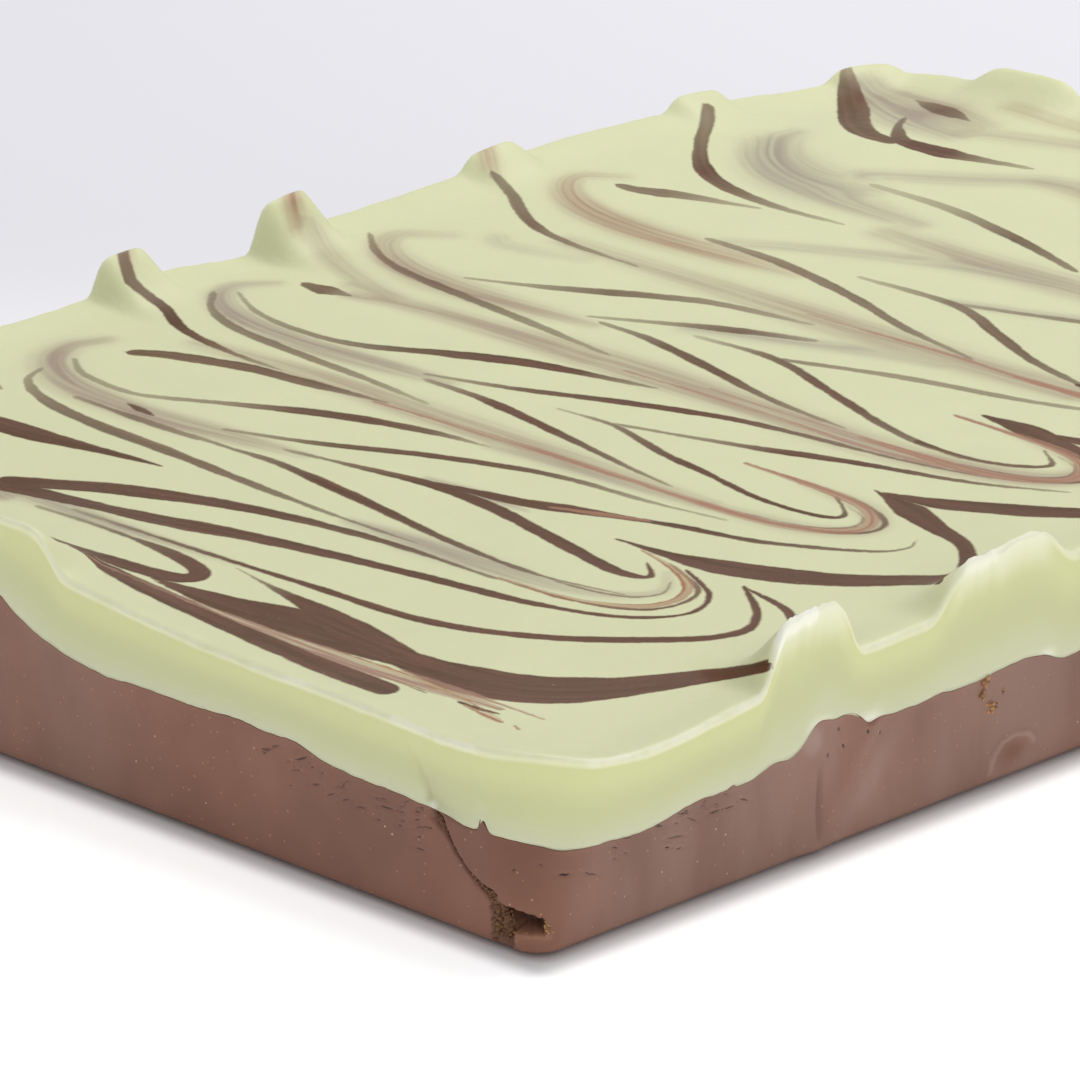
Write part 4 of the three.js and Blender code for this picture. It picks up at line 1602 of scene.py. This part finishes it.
        # Painted shade right of the fold: a grey smear and a shift towards the colour under the rim make the
        # mint darker and greener there.
        smeared[side, 0] = np.maximum(smeared[side, 0], 0.3 * step)
        share[side] = (share[side] + 0.3 * step).clip(0, 1)
        set_coordinates(piece.data, points)
        for name, layer in layers.items():
            layer[:, 1] -= below_rim
            set_attribute(piece.data, name, layer)
        set_attribute(piece.data, "smear_stroke", smeared)
        # The second number is the torn white together with the painted highlight along the brink.
        set_attribute(piece.data, "layer_place", np.column_stack([share, 0.8 * torn, on_top]))
        finish_piece(piece, finish.material(marbling.sheets), "mint_layer")
        return piece


@dataclass(frozen=True)
class Nick:
    """A small spike or sag of the line where the layers meet."""

    at: float
    rise: float
    half_width: float


JOIN_NICKS = (
    Nick(-129.5, 3.0, 3.2),
    Nick(-119.0, -2.0, 4.0),
    Nick(-104.0, -1.4, 9.0),
    Nick(-68.0, 0.9, 12.0),
    Nick(-56.0, 1.1, 4.5),
    Nick(-12.6, 2.1, 0.95),
    Nick(-17.0, -0.4, 3.0),
    Nick(5.0, -0.6, 6.0),
    Nick(37.0, 1.3, 7.0),
    Nick(45.3, 0.6, 0.7),
    Nick(55.0, -1.7, 4.0),
    Nick(58.6, -1.6, 2.4),
    Nick(61.6, -1.7, 2.6),
    Nick(66.5, 1.3, 3.0),
    Nick(72.4, 1.9, 2.4),
    Nick(75.2, 1.9, 2.6),
    Nick(78.3, -0.7, 2.2),
    Nick(80.5, 0.7, 3.0),
    Nick(99.0, -1.4, 3.2),
    Nick(104.0, -1.1, 3.5),
    Nick(107.0, -0.9, 6.0),
)


def join_detail(stations: Stations) -> Values:
    """Fine unevenness of the line where the layers meet.

    Args:
        stations: Places round the outline.

    Returns:
        What it adds to the join's height.
    """
    plan = FORM.plan_point(stations, 0.0, FORM.corner_radius(FORM.join_share))
    points = np.column_stack([plan, np.zeros(len(plan))])
    height = 0.3 * grain(points, 6.0, 2.5) + 0.16 * grain(points, 1.9, 8.5)
    turned = round_corner(plan)
    for nick in JOIN_NICKS:
        height += nick.rise * hump(turned - nick.at, nick.half_width)
    return height


def round_corner(plan: Points) -> Values:
    """Distance round the near corner.

    Args:
        plan: Plan points on the outline.

    Returns:
        Distances along the near side, or minus those across the end, and a huge one on the hidden sides.
    """
    places = FORM.to_corner(plan)
    turned = places[:, 0] - places[:, 1]
    return np.where(places.min(axis=1) < FORM.rim_corner, turned, HIDDEN_SIDE)


def flat_places(points: Points) -> Points:
    """Points of the sides laid flat: distances round the near corner, and heights."""
    return np.column_stack([round_corner(points[:, :2]), points[:, 2]])


def side_point(turned: float, height: float, out: float = 0.0) -> np.ndarray:
    """A point on the side near the near corner.

    Args:
        turned: Distance round the near corner.
        height: Height above the underside.
        out: How far the point stands out from the side.

    Returns:
        The point.
    """
    radius = FORM.corner_radius(FORM.join_share * max(height, 0.0) / FORM.join)
    if turned < -radius:
        place = np.array([-out, -turned])
    elif turned > radius:
        place = np.array([turned, -out])
    else:
        angle = math.pi / 4 + math.asin(turned / (radius * math.sqrt(2)))
        place = radius - (radius + out) * np.array([math.cos(angle), math.sin(angle)])
    return np.array([*FORM.from_corner(place), height])


@dataclass
class ChocolateBase:
    """The chocolate base: fine upright sides with a crease, a crumbled hollow, tears and soft folds."""

    form: SlabForm = FORM
    near_step: float = 0.28
    far_step: float = 2.5
    fine_reach: float = 70.0
    coarse_reach: float = 300.0
    side_rows: int = 64
    foot_rows: int = 5
    foot_under: float = 3.4
    foot_bend: float = 1.6
    foot_rise: float = 1.3
    deepest: float = 0.66
    join_ease: float = 0.7
    top_insets: tuple[float, ...] = (6.0, 18.0, 40.0)
    crease: tuple[tuple[float, float, float, float], ...] = (
        (-24.2, 21.4, 0.9, 0.9),
        (-23.0, 19.4, 1.15, 1.1),
        (-21.6, 18.0, 0.6, 1.0),
        (-19.1, 14.8, 0.35, 0.8),
        (-16.6, 12.5, 0.35, 0.8),
        (-14.1, 10.9, 0.5, 1.1),
        (-11.0, 9.5, 0.9, 1.8),
    )
    flap_height: float = 0.45
    flap_reach: float = 5.0
    crumbled: tuple[Span, ...] = (
        (-11.2, 9.8), (-10.6, -1.0), (-6.6, -1.0), (-5.6, 4.0), (-7.0, 7.4),
    )
    cavity: tuple[Span, ...] = (
        (-10.0, 9.0), (-8.0, 5.6), (-6.4, 4.1), (1.4, 4.2), (3.0, 5.0), (1.0, 6.9),
    )
    cavity_depth: float = 4.6
    ridge: tuple[Span, ...] = ((78.5, 20.0), (72.0, 11.0), (65.4, 2.0))
    ridge_height: float = 0.5
    ridge_width: float = 2.6
    scrape_height: float = 0.5
    scrape_width: float = 0.42
    scrape: tuple[Span, ...] = (
        (108.6, 3.0), (109.6, 5.8), (111.8, 7.9), (114.7, 8.6), (118.2, 7.9), (119.7, 6.2),
    )
    tears_seen: tuple[tuple[float, float, float, float], ...] = (
        (-35.1, 17.8, 1.5, 0.26), (-31.7, 18.1, 0.8, 0.2), (-31.3, 16.7, 0.5, 0.2),
        (-32.0, 15.5, 0.5, 0.22), (-28.0, 17.7, 0.6, 0.2), (-26.3, 16.9, 0.7, 0.2),
        (-24.9, 17.1, 0.4, 0.2), (-27.3, 12.7, 1.0, 0.2), (-27.5, 14.8, 0.5, 0.2),
        (-63.7, 20.1, 1.2, 0.26), (-61.3, 21.4, 1.0, 0.26), (-55.3, 20.8, 1.6, 0.28),
        (-51.8, 17.2, 1.0, 0.24), (-48.3, 16.4, 1.0, 0.24), (-44.7, 16.5, 0.8, 0.22),
        (-41.2, 16.1, 1.2, 0.24), (20.6, 16.6, 1.2, 0.24), (31.9, 13.4, 2.2, 0.24),
        (27.8, 16.6, 1.1, 0.34), (32.1, 15.8, 0.5, 0.26), (35.7, 15.5, 1.2, 0.26),
        (30.0, 12.1, 0.6, 0.22), (32.8, 11.2, 0.7, 0.2), (20.3, 13.9, 0.5, 0.2), (5.9, 13.7, 1.4, 0.26),
        (12.1, 12.7, 1.5, 0.26), (0.5, 15.6, 0.6, 0.16), (-5.7, 14.6, 0.4, 0.16), (41.1, 15.3, 1.4, 0.26),
        (44.7, 15.0, 1.2, 0.24), (48.2, 15.4, 1.0, 0.22),
    )
    pits: tuple[Span, ...] = ((71.0, 21.6), (77.7, 19.3), (72.1, 18.2), (81.1, 18.1), (68.4, 17.6))
    pit_size: Span = (0.35, 0.5)
    tear_count: int = 40
    tear_seed: int = 5
    end_tears: Span = (-66.0, -25.0)
    near_tears: Span = (17.0, 56.0)
    tear_drop: Span = (1.5, 1.1)
    tear_half_lengths: Span = (0.3, 0.9)
    tear_half_heights: Span = (0.1, 0.2)
    tear_slant: float = 0.55
    # How dark the painted shade in the tears and pits is.
    tear_darkness: Span = (0.55, 1.0)
    tear_thinness: float = 0.75
    tear_depth: float = 0.15
    tear_dent: float = 2.0
    no_tear: Axes = (9.0, 9.0, 0.0)

    def outline(self) -> Points:
        """Places of the stations round the rim's outline, closest beside the near corner.

        Returns:
            Plan points on the rim's outline, in order.
        """
        form = self.form
        straight = 2 * (form.half - form.rim_corner)
        arc = math.pi / 2 * form.rim_corner
        half_round = straight.sum() + 2 * arc
        steps = [0.0]
        while steps[-1] < half_round:
            share = np.clip((steps[-1] - self.fine_reach) / (self.coarse_reach - self.fine_reach), 0, 1)
            steps.append(steps[-1] + self.near_step + (self.far_step - self.near_step) * share)
        one_way = np.array(steps) * half_round / steps[-1]
        travelled = np.concatenate([one_way[:-1], 2 * half_round - one_way[:0:-1]])
        return np.array([self.walk(distance, straight, arc) for distance in travelled])

    def walk(self, distance: float, straight: np.ndarray, arc: float) -> tuple[float, float]:
        """A plan point on the rim's outline.

        Args:
            distance: Distance from the middle of the near corner's arc, first along the near edge.
            straight: Lengths of the straight stretches along and across.
            arc: Length of a corner's arc.

        Returns:
            The plan point.
        """
        radius = self.form.rim_corner
        core = self.form.half - radius
        corners = [(-1, -1), (1, -1), (1, 1), (-1, 1), (-1, -1)]
        lengths = [straight[0], straight[1], straight[0], straight[1], 0.0]
        left = distance + arc / 2
        for number, (side, length) in enumerate(zip(corners, lengths)):
            angle = -math.pi + number * math.pi / 2 + min(left, arc) / radius
            ahead = np.clip(left - arc, 0, length)
            if left <= arc + length or number == len(corners) - 1:
                break
            left -= arc + length
        x = side[0] * core[0] + radius * math.cos(angle) - ahead * math.sin(angle)
        y = side[1] * core[1] + radius * math.sin(angle) + ahead * math.cos(angle)
        return x, y

    def sunk(self, flat: Points, points: Points, room: Values) -> tuple[Values, Points]:
        """How far the side is sunk in, and the marks and painted shade on it.

        Args:
            flat: Distances round the near corner, and heights.
            points: The points themselves, for their noise.
            room: The deepest that the side can be sunk.

        Returns:
            The depths, and for each point its painted shade, ochre and bloom marks; the bloom is partly
            painted sheen.
        """
        turned, height = flat.T
        rough = grain(points, 1.3, 4.2)
        fine = grain(points, 0.55, 9.1)
        depth = 0.1 * (1 + grain(points, 9.0, 2.2))
        marks = np.zeros((len(points), 3))

        track = line_samples(np.array(self.crease), 0.25)
        apart = np.linalg.norm(flat[:, None] - track[None, :, :2], axis=2)
        nearest = apart.argmin(axis=1)
        apart = apart[np.arange(len(flat)), nearest]
        ragged = apart * (1 + 0.45 * rough + 0.3 * fine)
        groove = hump(ragged, track[nearest, 2])
        depth += track[nearest, 3] * groove * (1 + 0.5 * fine)
        right = smooth_step(turned - np.interp(height, track[::-1, 1], track[::-1, 0]), 0.0, 0.5)
        lifted = right * np.exp(-apart / self.flap_reach) * smooth_step(height, 6.5, 9.5)
        depth -= self.flap_height * lifted
        # Painted shade in the crease.
        marks[:, 0] = 0.55 * groove

        strip = inside_polygon(flat, np.array(self.crumbled)) + 0.4 * rough
        crumbly = smooth_step(strip, -0.2, 0.5)
        slope = smooth_step(turned, -10.8, -6.5) * smooth_step(height, 1.5, 5.0)
        low = smooth_step(height, 0.0, 1.6)
        depth += crumbly * low * np.minimum(0.35 + 1.6 * slope + 0.35 * rough + 0.45 * fine, room)
        cave = inside_polygon(flat, np.array(self.cavity)) + 0.25 * rough
        sink = smooth_step(cave, -0.1, 0.9)
        depth += sink * (np.minimum(self.cavity_depth, room) - depth).clip(0) * (0.92 + 0.1 * rough)
        # Painted shade in the crumbled strip and the cavity.
        shade = np.maximum(0.45 * crumbly, 0.75 * smooth_step(cave, 0.1, 1.3))
        marks[:, 0] = np.maximum(marks[:, 0], shade)

        depth -= self.ridge_height * hump(from_line(flat, self.ridge, 0.4), self.ridge_width)
        scraped = hump(from_line(flat, self.scrape, 0.3), self.scrape_width)
        depth -= self.scrape_height * scraped
        fold = hump(turned - 65.7 - 0.06 * height, 0.6)
        fold *= smooth_step(height, 2.0, 5.0) * smooth_step(-height, -18.0, -13.0)
        depth += 0.4 * fold

        lip = hump(height - 3.8, 0.35) * within(turned, -6.6, 3.8, 1.0)
        inner = np.exp(-(((turned - 114.5) / 3.2) ** 2) - ((height - 5.6) / 1.9) ** 2)
        golden = lip * (0.7 + 0.5 * fine) + 0.3 * scraped + 0.35 * inner + 0.25 * crumbly
        marks[:, 1] = golden.clip(0, 1)
        far_end = smooth_step(-turned, 80.0, 112.0)
        # Painted light: a pale band on the lit face beside the ridge.
        pale = np.exp(-(((turned - 75.6 - 0.86 * (height - 7)) / 3.2) ** 2) - ((height - 7.5) / 8.5) ** 2)
        film = np.exp(-((np.hypot((turned - 64.6) / 2.4, (height - 21.0) / 2.6)) ** 4))
        # Bloom grows over the whole near side, where it is partly painted sheen, and towards the far end of
        # the end face.
        bloom = 0.06 + 0.42 * smooth_step(turned, 0.0, 18.0) + 0.25 * far_end
        bloom += 0.5 * pale + 0.6 * film + 0.9 * scraped - 0.5 * inner
        marks[:, 2] = (bloom * (1 - crumbly)).clip(0, 1)
        # Painted shade in the fold groove, and darker inside the scrape.
        marks[:, 0] = np.maximum(marks[:, 0], 0.16 * inner + 0.2 * fold)
        return depth, marks

    def tears(self, flat: Points) -> Points:
        """Small tears in the chocolate just under the mint, where the lining pulled at it.

        Args:
            flat: Distances round the near corner, and heights.

        Returns:
            For each point its place along and across the nearest tear, in half lengths and half heights, and
            how dark the tear's painted shade is.
        """
        draw = np.random.default_rng(self.tear_seed)
        tears = list(self.tears_seen)
        for number in range(self.tear_count):
            on_end = number % 2
            middle = draw.uniform(*(self.end_tears if on_end else self.near_tears))
            level = (20.4 if on_end else 17.6 + 0.06 * middle) - draw.gamma(*self.tear_drop)
            half_length = draw.uniform(*self.tear_half_lengths)
            tears.append((middle, level, half_length, draw.uniform(*self.tear_half_heights)))
        tears += [(*pit, *self.pit_size) for pit in self.pits]
        nearest = np.tile(self.no_tear, (len(flat), 1))
        for turned, height, half_length, half_height in tears:
            slant = np.sign(-turned) * draw.uniform(0.0, self.tear_slant)
            darkness = draw.uniform(*self.tear_darkness)
            away = flat - (turned, height)
            near = np.flatnonzero(np.abs(away).max(axis=1) < half_length + 1.0)
            along = away[near, 0] / half_length
            across = (away[near, 1] - slant * away[near, 0]) / (self.tear_thinness * half_height)
            closer = np.hypot(along, across) < np.hypot(*nearest[near, :2].T)
            nearest[near[closer], 0] = along[closer]
            nearest[near[closer], 1] = across[closer]
            nearest[near[closer], 2] = darkness
        return nearest

    def build(self, finish: ChocolateFinish) -> Object:
        """Model the base and dress it.

        Args:
            finish: Its finish.

        Returns:
            The piece.
        """
        form = self.form
        edge_places = self.outline()
        count = len(edge_places)
        rings = self.foot_rows + self.side_rows + len(self.top_insets)
        deselect()
        bpy.ops.mesh.primitive_circle_add(vertices=count, radius=1, fill_type="NGON", location=(0, 0, 0))
        piece = bpy.context.object
        piece.name = "chocolate_side"
        hang_rings(rings)

        raw = coordinates(piece.data)
        row = np.rint(-raw[:, 2]).astype(int)
        turn = np.arctan2(raw[:, 1], raw[:, 0]) / (2 * math.pi)
        station = np.rint((turn - 0.25) * count).astype(int) % count
        edge, _, stations = form.outline_of(edge_places[station] * JUST_INSIDE)
        smooth_join = form.join_height(edge, edge, 0.0)
        join = smooth_join + join_detail(stations)

        points = np.zeros((len(raw), 3))
        radii = np.full(len(raw), form.foot_corner)
        for number in range(rings + 1):
            ring = row == number
            part = stations.some(ring)
            if number < self.foot_rows:
                t = 1 - number / self.foot_rows
                where = form.plan_point(part, self.foot_under * t**self.foot_bend, form.foot_corner)
                level = np.full(ring.sum(), form.foot_round * (1 - t) ** self.foot_rise)
            elif number <= self.foot_rows + self.side_rows:
                t = (number - self.foot_rows) / self.side_rows
                level = form.foot_round + (join[ring] - form.foot_round) * t
                share = (level - form.foot_round) / (smooth_join[ring] - form.foot_round)
                radii[ring] = form.corner_radius(form.join_share * share)
                where = form.plan_point(part, 0.0, radii[ring])
            else:
                inset = self.top_insets[number - self.foot_rows - self.side_rows - 1]
                where = form.plan_point(part, inset, form.rim_corner - inset)
                level = form.join_height(where, edge[ring], inset)
            points[ring] = np.column_stack([where, level])

        side = row <= self.foot_rows + self.side_rows
        flat = flat_places(points[side])
        side_tears = self.tears(flat)
        depth, marks = self.sunk(flat, points[side], self.deepest * radii[side])
        depth += self.tear_depth * hump(np.hypot(*side_tears[:, :2].T), self.tear_dent)
        at_join = smooth_step(join[side] - points[side, 2], 0.0, self.join_ease)
        points[side, :2] -= stations.normal[side] * (depth * at_join)[:, None]
        full_marks = np.zeros((len(points), 3))
        full_marks[side] = marks
        tears = np.tile(self.no_tear, (len(points), 1))
        tears[side] = side_tears
        set_coordinates(piece.data, points)
        # Painted shade, ochre marks and bloom, which is partly painted sheen.
        set_attribute(piece.data, "base_shade_and_marks", full_marks)
        set_attribute(piece.data, "tear_place", tears)
        finish_piece(piece, finish.material(), "chocolate_base")
        return piece


@dataclass
class Lumps:
    """Small irregular lumps that are joined to one piece."""

    unevenness: float = 0.4
    uneven_length: float = 0.7
    uneven_seeds: Span = (0.0, 50.0)
    stretches: Span = (0.6, 1.3)
    points: list[Points] = field(default_factory=list)
    tones: list[Values] = field(default_factory=list)

    def __post_init__(self) -> None:
        """Make a round lump's shape: a cube with its faces divided, swollen to a ball."""
        deselect()
        bpy.ops.mesh.primitive_cube_add(size=2, location=(0, 0, 0))
        bpy.ops.object.mode_set(mode="EDIT")
        bpy.ops.mesh.select_all(action="SELECT")
        bpy.ops.mesh.subdivide(number_cuts=1)
        bpy.ops.object.mode_set(mode="OBJECT")
        lump = bpy.context.object
        self.shape = coordinates(lump.data)
        self.shape /= np.linalg.norm(self.shape, axis=1)[:, None]
        self.faces = np.array([face.vertices[:] for face in lump.data.polygons])
        bpy.data.objects.remove(lump)

    def add(self, middle: Values, size: float, draw: np.random.Generator, tone: float) -> None:
        """Add a lump.

        Args:
            middle: Its middle.
            size: Its radius.
            draw: The source of its irregular form.
            tone: Its tone, from 0 to 1.
        """
        uneven = grain(self.shape, self.uneven_length, draw.uniform(*self.uneven_seeds))
        lumpy = self.shape * (1 + self.unevenness * uneven)[:, None]
        lumpy = lumpy * draw.uniform(*self.stretches, 3) * size
        self.points.append(lumpy + middle)
        self.tones.append(np.full(len(lumpy), tone))

    def finish(self, name: str, attribute: str, material: Material, slot: str) -> Object:
        """Join the lumps and dress them.

        Args:
            name: The piece's name.
            attribute: The name of the attribute that holds the tones.
            material: The piece's material.
            slot: Not used.

        Returns:
            The piece.
        """
        size = len(self.shape)
        faces = np.vstack([self.faces + number * size for number in range(len(self.points))])
        mesh = bpy.data.meshes.new(name)
        mesh.from_pydata((np.vstack(self.points) * MM).tolist(), [], faces.tolist())
        piece = bpy.data.objects.new(name, mesh)
        bpy.context.scene.collection.objects.link(piece)
        set_attribute(mesh, attribute, np.concatenate(self.tones)[:, None])
        finish_piece(piece, material)
        return piece


@dataclass(frozen=True)
class CrumbPatch:
    """A place on the side where crumbs cling: a line round the near corner, and how they lie along it."""

    line: tuple[Span, ...]
    spread: float
    count: int
    sizes: Span
    out: float
    tone: float


@dataclass
class Crumbs:
    """Crumbs that cling to the crease, the hollow and the near side."""

    patches: tuple[CrumbPatch, ...] = (
        CrumbPatch(((-23.4, 19.6), (-22.6, 18.8), (-21.4, 17.6)), 0.45, 190, (0.08, 0.3), -0.5, 0.22),
        CrumbPatch(((-21.4, 17.6), (-19.1, 14.8), (-16.6, 12.5)), 0.16, 70, (0.07, 0.2), -0.35, 0.25),
        CrumbPatch(((-16.6, 12.5), (-14.1, 10.9), (-11.0, 9.5)), 0.3, 130, (0.08, 0.28), -0.45, 0.25),
        CrumbPatch(((-10.9, 9.2), (-9.7, 5.4), (-10.4, 2.2)), 0.45, 150, (0.1, 0.5), -0.5, 0.24),
        CrumbPatch(((-9.2, 8.0), (-8.2, 4.4), (-8.8, 2.4)), 0.65, 170, (0.1, 0.56), -0.95, 0.2),
        CrumbPatch(((-7.4, 6.0), (-7.2, 3.0)), 0.5, 90, (0.1, 0.36), -1.4, 0.2),
        CrumbPatch(((-6.0, 4.0), (1.0, 4.1), (3.0, 3.9)), 0.15, 70, (0.07, 0.16), -0.15, 0.7),
        CrumbPatch(((1.6, 6.0), (2.6, 5.0), (3.2, 4.0)), 0.35, 60, (0.1, 0.3), -0.1, 1.0),
        CrumbPatch(((107.6, 20.2), (106.8, 19.8)), 0.35, 16, (0.2, 0.5), 0.0, 0.85),
        CrumbPatch(((106.6, 18.4), (106.8, 17.2)), 0.35, 12, (0.16, 0.44), 0.0, 0.75),
        CrumbPatch(((108.2, 15.2), (109.6, 14.8)), 0.5, 20, (0.16, 0.46), 0.0, 1.0),
        CrumbPatch(((111.8, 17.4), (111.6, 16.6)), 0.25, 7, (0.1, 0.26), 0.0, 0.7),
    )
    line_step: float = 0.1
    out_spread: Span = (-0.3, 0.15)
    tone_spread: Span = (0.4, 1.2)
    seed: int = 21

    def build(self, finish: CrumbFinish) -> Object:
        """Model the crumbs as one piece and dress them.

        Args:
            finish: Their finish.

        Returns:
            The piece.
        """
        draw = np.random.default_rng(self.seed)
        lumps = Lumps()
        for patch in self.patches:
            track = line_samples(np.array(patch.line), self.line_step)
            for _ in range(patch.count):
                turned, height = track[draw.integers(len(track))] + draw.normal(0, patch.spread, 2)
                size = draw.uniform(*patch.sizes)
                middle = side_point(turned, max(height, size), patch.out + draw.uniform(*self.out_spread))
                lumps.add(middle, size, draw, patch.tone * draw.uniform(*self.tone_spread))
        return lumps.finish("fudge_crumbs", "crumb_tone", finish.material(), "chocolate_fudge")


def line_samples(knots: Points, step: float) -> Points:
    """Points along a broken line, with the knots' further numbers carried along.

    Args:
        knots: The line's knots: two places, then further numbers.
        step: Spacing in millimetres.

    Returns:
        The points.
    """
    apart = np.linalg.norm(np.diff(knots[:, :2], axis=0), axis=1)
    travelled = np.concatenate([[0], np.cumsum(apart)])
    at = np.arange(0, travelled[-1] + step, step).clip(0, travelled[-1])
    return np.column_stack([np.interp(at, travelled, column) for column in knots.T])


def from_line(flat: Points, knots: Sequence[Span], step: float) -> Values:
    """Distances of points from a broken line that is sampled at a step."""
    line = line_samples(np.array(knots), step)
    return np.linalg.norm(flat[:, None] - line[None], axis=2).min(axis=1)


def inside_polygon(flat: Points, corners: Points) -> Values:
    """Distance to a polygon's outline, positive inside it.

    Args:
        flat: Points in a plane.
        corners: The polygon's corners.

    Returns:
        The signed distances.
    """
    apart = np.full(len(flat), np.inf)
    inside = np.zeros(len(flat), bool)
    for start, end in zip(corners, np.roll(corners, -1, axis=0)):
        run = end - start
        share = np.clip((flat - start) @ run / (run @ run), 0, 1)
        apart = np.minimum(apart, np.linalg.norm(flat - start - share[:, None] * run, axis=1))
        spans = (start[1] > flat[:, 1]) != (end[1] > flat[:, 1])
        rise = run[1] if run[1] else 1e-9
        inside ^= spans & (flat[:, 0] < start[0] + run[0] * (flat[:, 1] - start[1]) / rise)
    return np.where(inside, apart, -apart)


@dataclass(frozen=True)
class Lamp:
    """A soft round light that faces the slab: its place and width in metres, its watts and its colour."""

    name: str
    place: Axes
    size: float
    watts: float
    tint: Axes

    def hang(self, target: Axes) -> None:
        """Put the light in the scene.

        Args:
            target: What it faces.
        """
        data = bpy.data.lights.new(self.name, "AREA")
        data.shape = "DISK"
        data.size = self.size
        data.energy = self.watts
        data.color = self.tint
        lamp = bpy.data.objects.new(self.name, data)
        lamp.location = self.place
        lamp.rotation_euler = (Vector(target) - Vector(self.place)).to_track_quat("-Z", "Y").to_euler()
        lamp.visible_camera = False
        bpy.context.scene.collection.objects.link(lamp)


@dataclass
class Studio:
    """A pale floor with painted light falloff and a painted glow, soft light and a camera at the near
    corner.
    """

    form: SlabForm = FORM
    yaw: float = 45.3387
    down: float = 20.078
    distance: float = 1453.7
    shift_right: float = 0.19
    shift_up: float = 68.97
    lens: float = 300.0
    sensor: float = 36.0
    view_range: Span = (0.05, 60.0)
    floor_size: float = 14.0
    floor_drop: float = 0.0001
    # Painted light falloff: the floor is coloured paler near the camera and darker away from it.
    painted_falloff: Span = (-0.12, 0.2)
    floor_near_painted_lit: Colour = colour(253, 253, 253)
    floor_far_painted_dim: Colour = colour(232, 231, 236)
    # Painted light: the floor glows, more near the camera, and the glow is held back close round the slab,
    # which leaves a darker contact band.
    glow_near: Colour = (0.5, 0.5, 0.5, 1.0)
    glow_far: Colour = (0.0, 0.0, 0.0, 1.0)
    glow_gap: float = 0.006
    sky: Colour = (0.95, 0.96, 1.0, 1.0)
    sky_strength: float = 0.47
    lamps: tuple[Lamp, ...] = (
        Lamp("key", (0.66, 0.22, 1.15), 1.0, 10.8, (1.0, 0.99, 0.97)),
        Lamp("fill", (-0.75, -1.1, 0.7), 1.2, 3.6, (1.0, 0.98, 0.98)),
    )
    lit_place: Axes = (0.0, 0.0, 0.02)

    def directions(self) -> tuple[Vector, Vector, Vector]:
        """The camera's right, up and forward directions.

        Returns:
            The three directions.
        """
        yaw = math.radians(self.yaw)
        down = math.radians(self.down)
        level = math.cos(down)
        forward = Vector((math.sin(yaw) * level, math.cos(yaw) * level, -math.sin(down)))
        right = Vector((math.cos(yaw), -math.sin(yaw), 0.0))
        return right, right.cross(forward), forward

    def camera(self) -> None:
        """Make the camera and give it to the scene."""
        right, up, forward = self.directions()
        corner = Vector((*(-self.form.half), 0.0))
        place = corner + right * self.shift_right + up * self.shift_up - forward * self.distance
        data = bpy.data.cameras.new("camera")
        data.lens = self.lens
        data.sensor_width = self.sensor
        data.clip_start, data.clip_end = self.view_range
        camera = bpy.data.objects.new("camera", data)
        turn = Matrix((right, up, -forward)).transposed().to_4x4()
        camera.matrix_world = Matrix.Translation(place * MM) @ turn
        bpy.context.scene.collection.objects.link(camera)
        bpy.context.scene.camera = camera

    def floor(self) -> None:
        """Lay the floor: painted paler near the camera as painted light falloff, and glowing as painted
        light except close round the slab.
        """
        deselect()
        bpy.ops.mesh.primitive_plane_add(size=self.floor_size, location=(0, 0, -self.floor_drop))
        floor = bpy.context.object
        floor.name = "floor"
        material, sheet, shader = new_material("pale_floor", MATT_GLOWING_FLOOR)
        forward = self.directions()[2]
        away = sheet.vectors("DOT_PRODUCT", sheet.object_place(), (*forward.xy.normalized(), 0.0))
        share = sheet.ramp(away.outputs["Value"], *self.painted_falloff)
        sheet.feed(shader.inputs["Base Color"], sheet.mix(share, self.floor_near_painted_lit, self.floor_far_painted_dim))
        glow = sheet.mix(share, self.glow_near, self.glow_far)
        glow = sheet.mix(self.clear_of_slab(sheet), self.glow_far, glow)
        sheet.feed(shader.inputs["Emission Color"], glow)
        floor.data.materials.append(material)

    def clear_of_slab(self, sheet: NodeSheet) -> NodeSocket:
        """How far the floor lies clear of the slab, which sets where its painted glow is held back.

        Args:
            sheet: The floor material's sheet.

        Returns:
            A share from 0 under the slab's edge to 1.
        """
        folded = sheet.vectors("ABSOLUTE", sheet.object_place()).outputs["Vector"]
        outside = sheet.vectors("SUBTRACT", folded, (*(self.form.half * MM), 0.0)).outputs["Vector"]
        beyond = sheet.vectors("MAXIMUM", outside, (0.0, 0.0, 0.0)).outputs["Vector"]
        away = sheet.vectors("LENGTH", beyond).outputs["Value"]
        return sheet.ramp(away, 0.0, self.glow_gap)

    def build(self) -> None:
        """Make the sky, the floor, the lights and the camera."""
        world = bpy.data.worlds.new("studio")
        world.use_nodes = True
        background = world.node_tree.nodes["Background"]
        background.inputs["Color"].default_value = self.sky
        background.inputs["Strength"].default_value = self.sky_strength
        scene = bpy.context.scene
        scene.world = world
        scene.view_settings.view_transform = "Standard"
        scene.view_settings.look = "None"
        self.floor()
        for lamp in self.lamps:
            lamp.hang(self.lit_place)
        self.camera()


def main() -> None:
    """Build the slab's pieces in order, then the studio."""
    logging.basicConfig(level=logging.INFO, format="%(name)s %(message)s")
    ChocolateBase().build(ChocolateFinish())
    Crumbs().build(CrumbFinish())
    MintLayer().build(Marbling(), MintFinish())
    Studio().build()


if __name__ == "__main__":
    main()
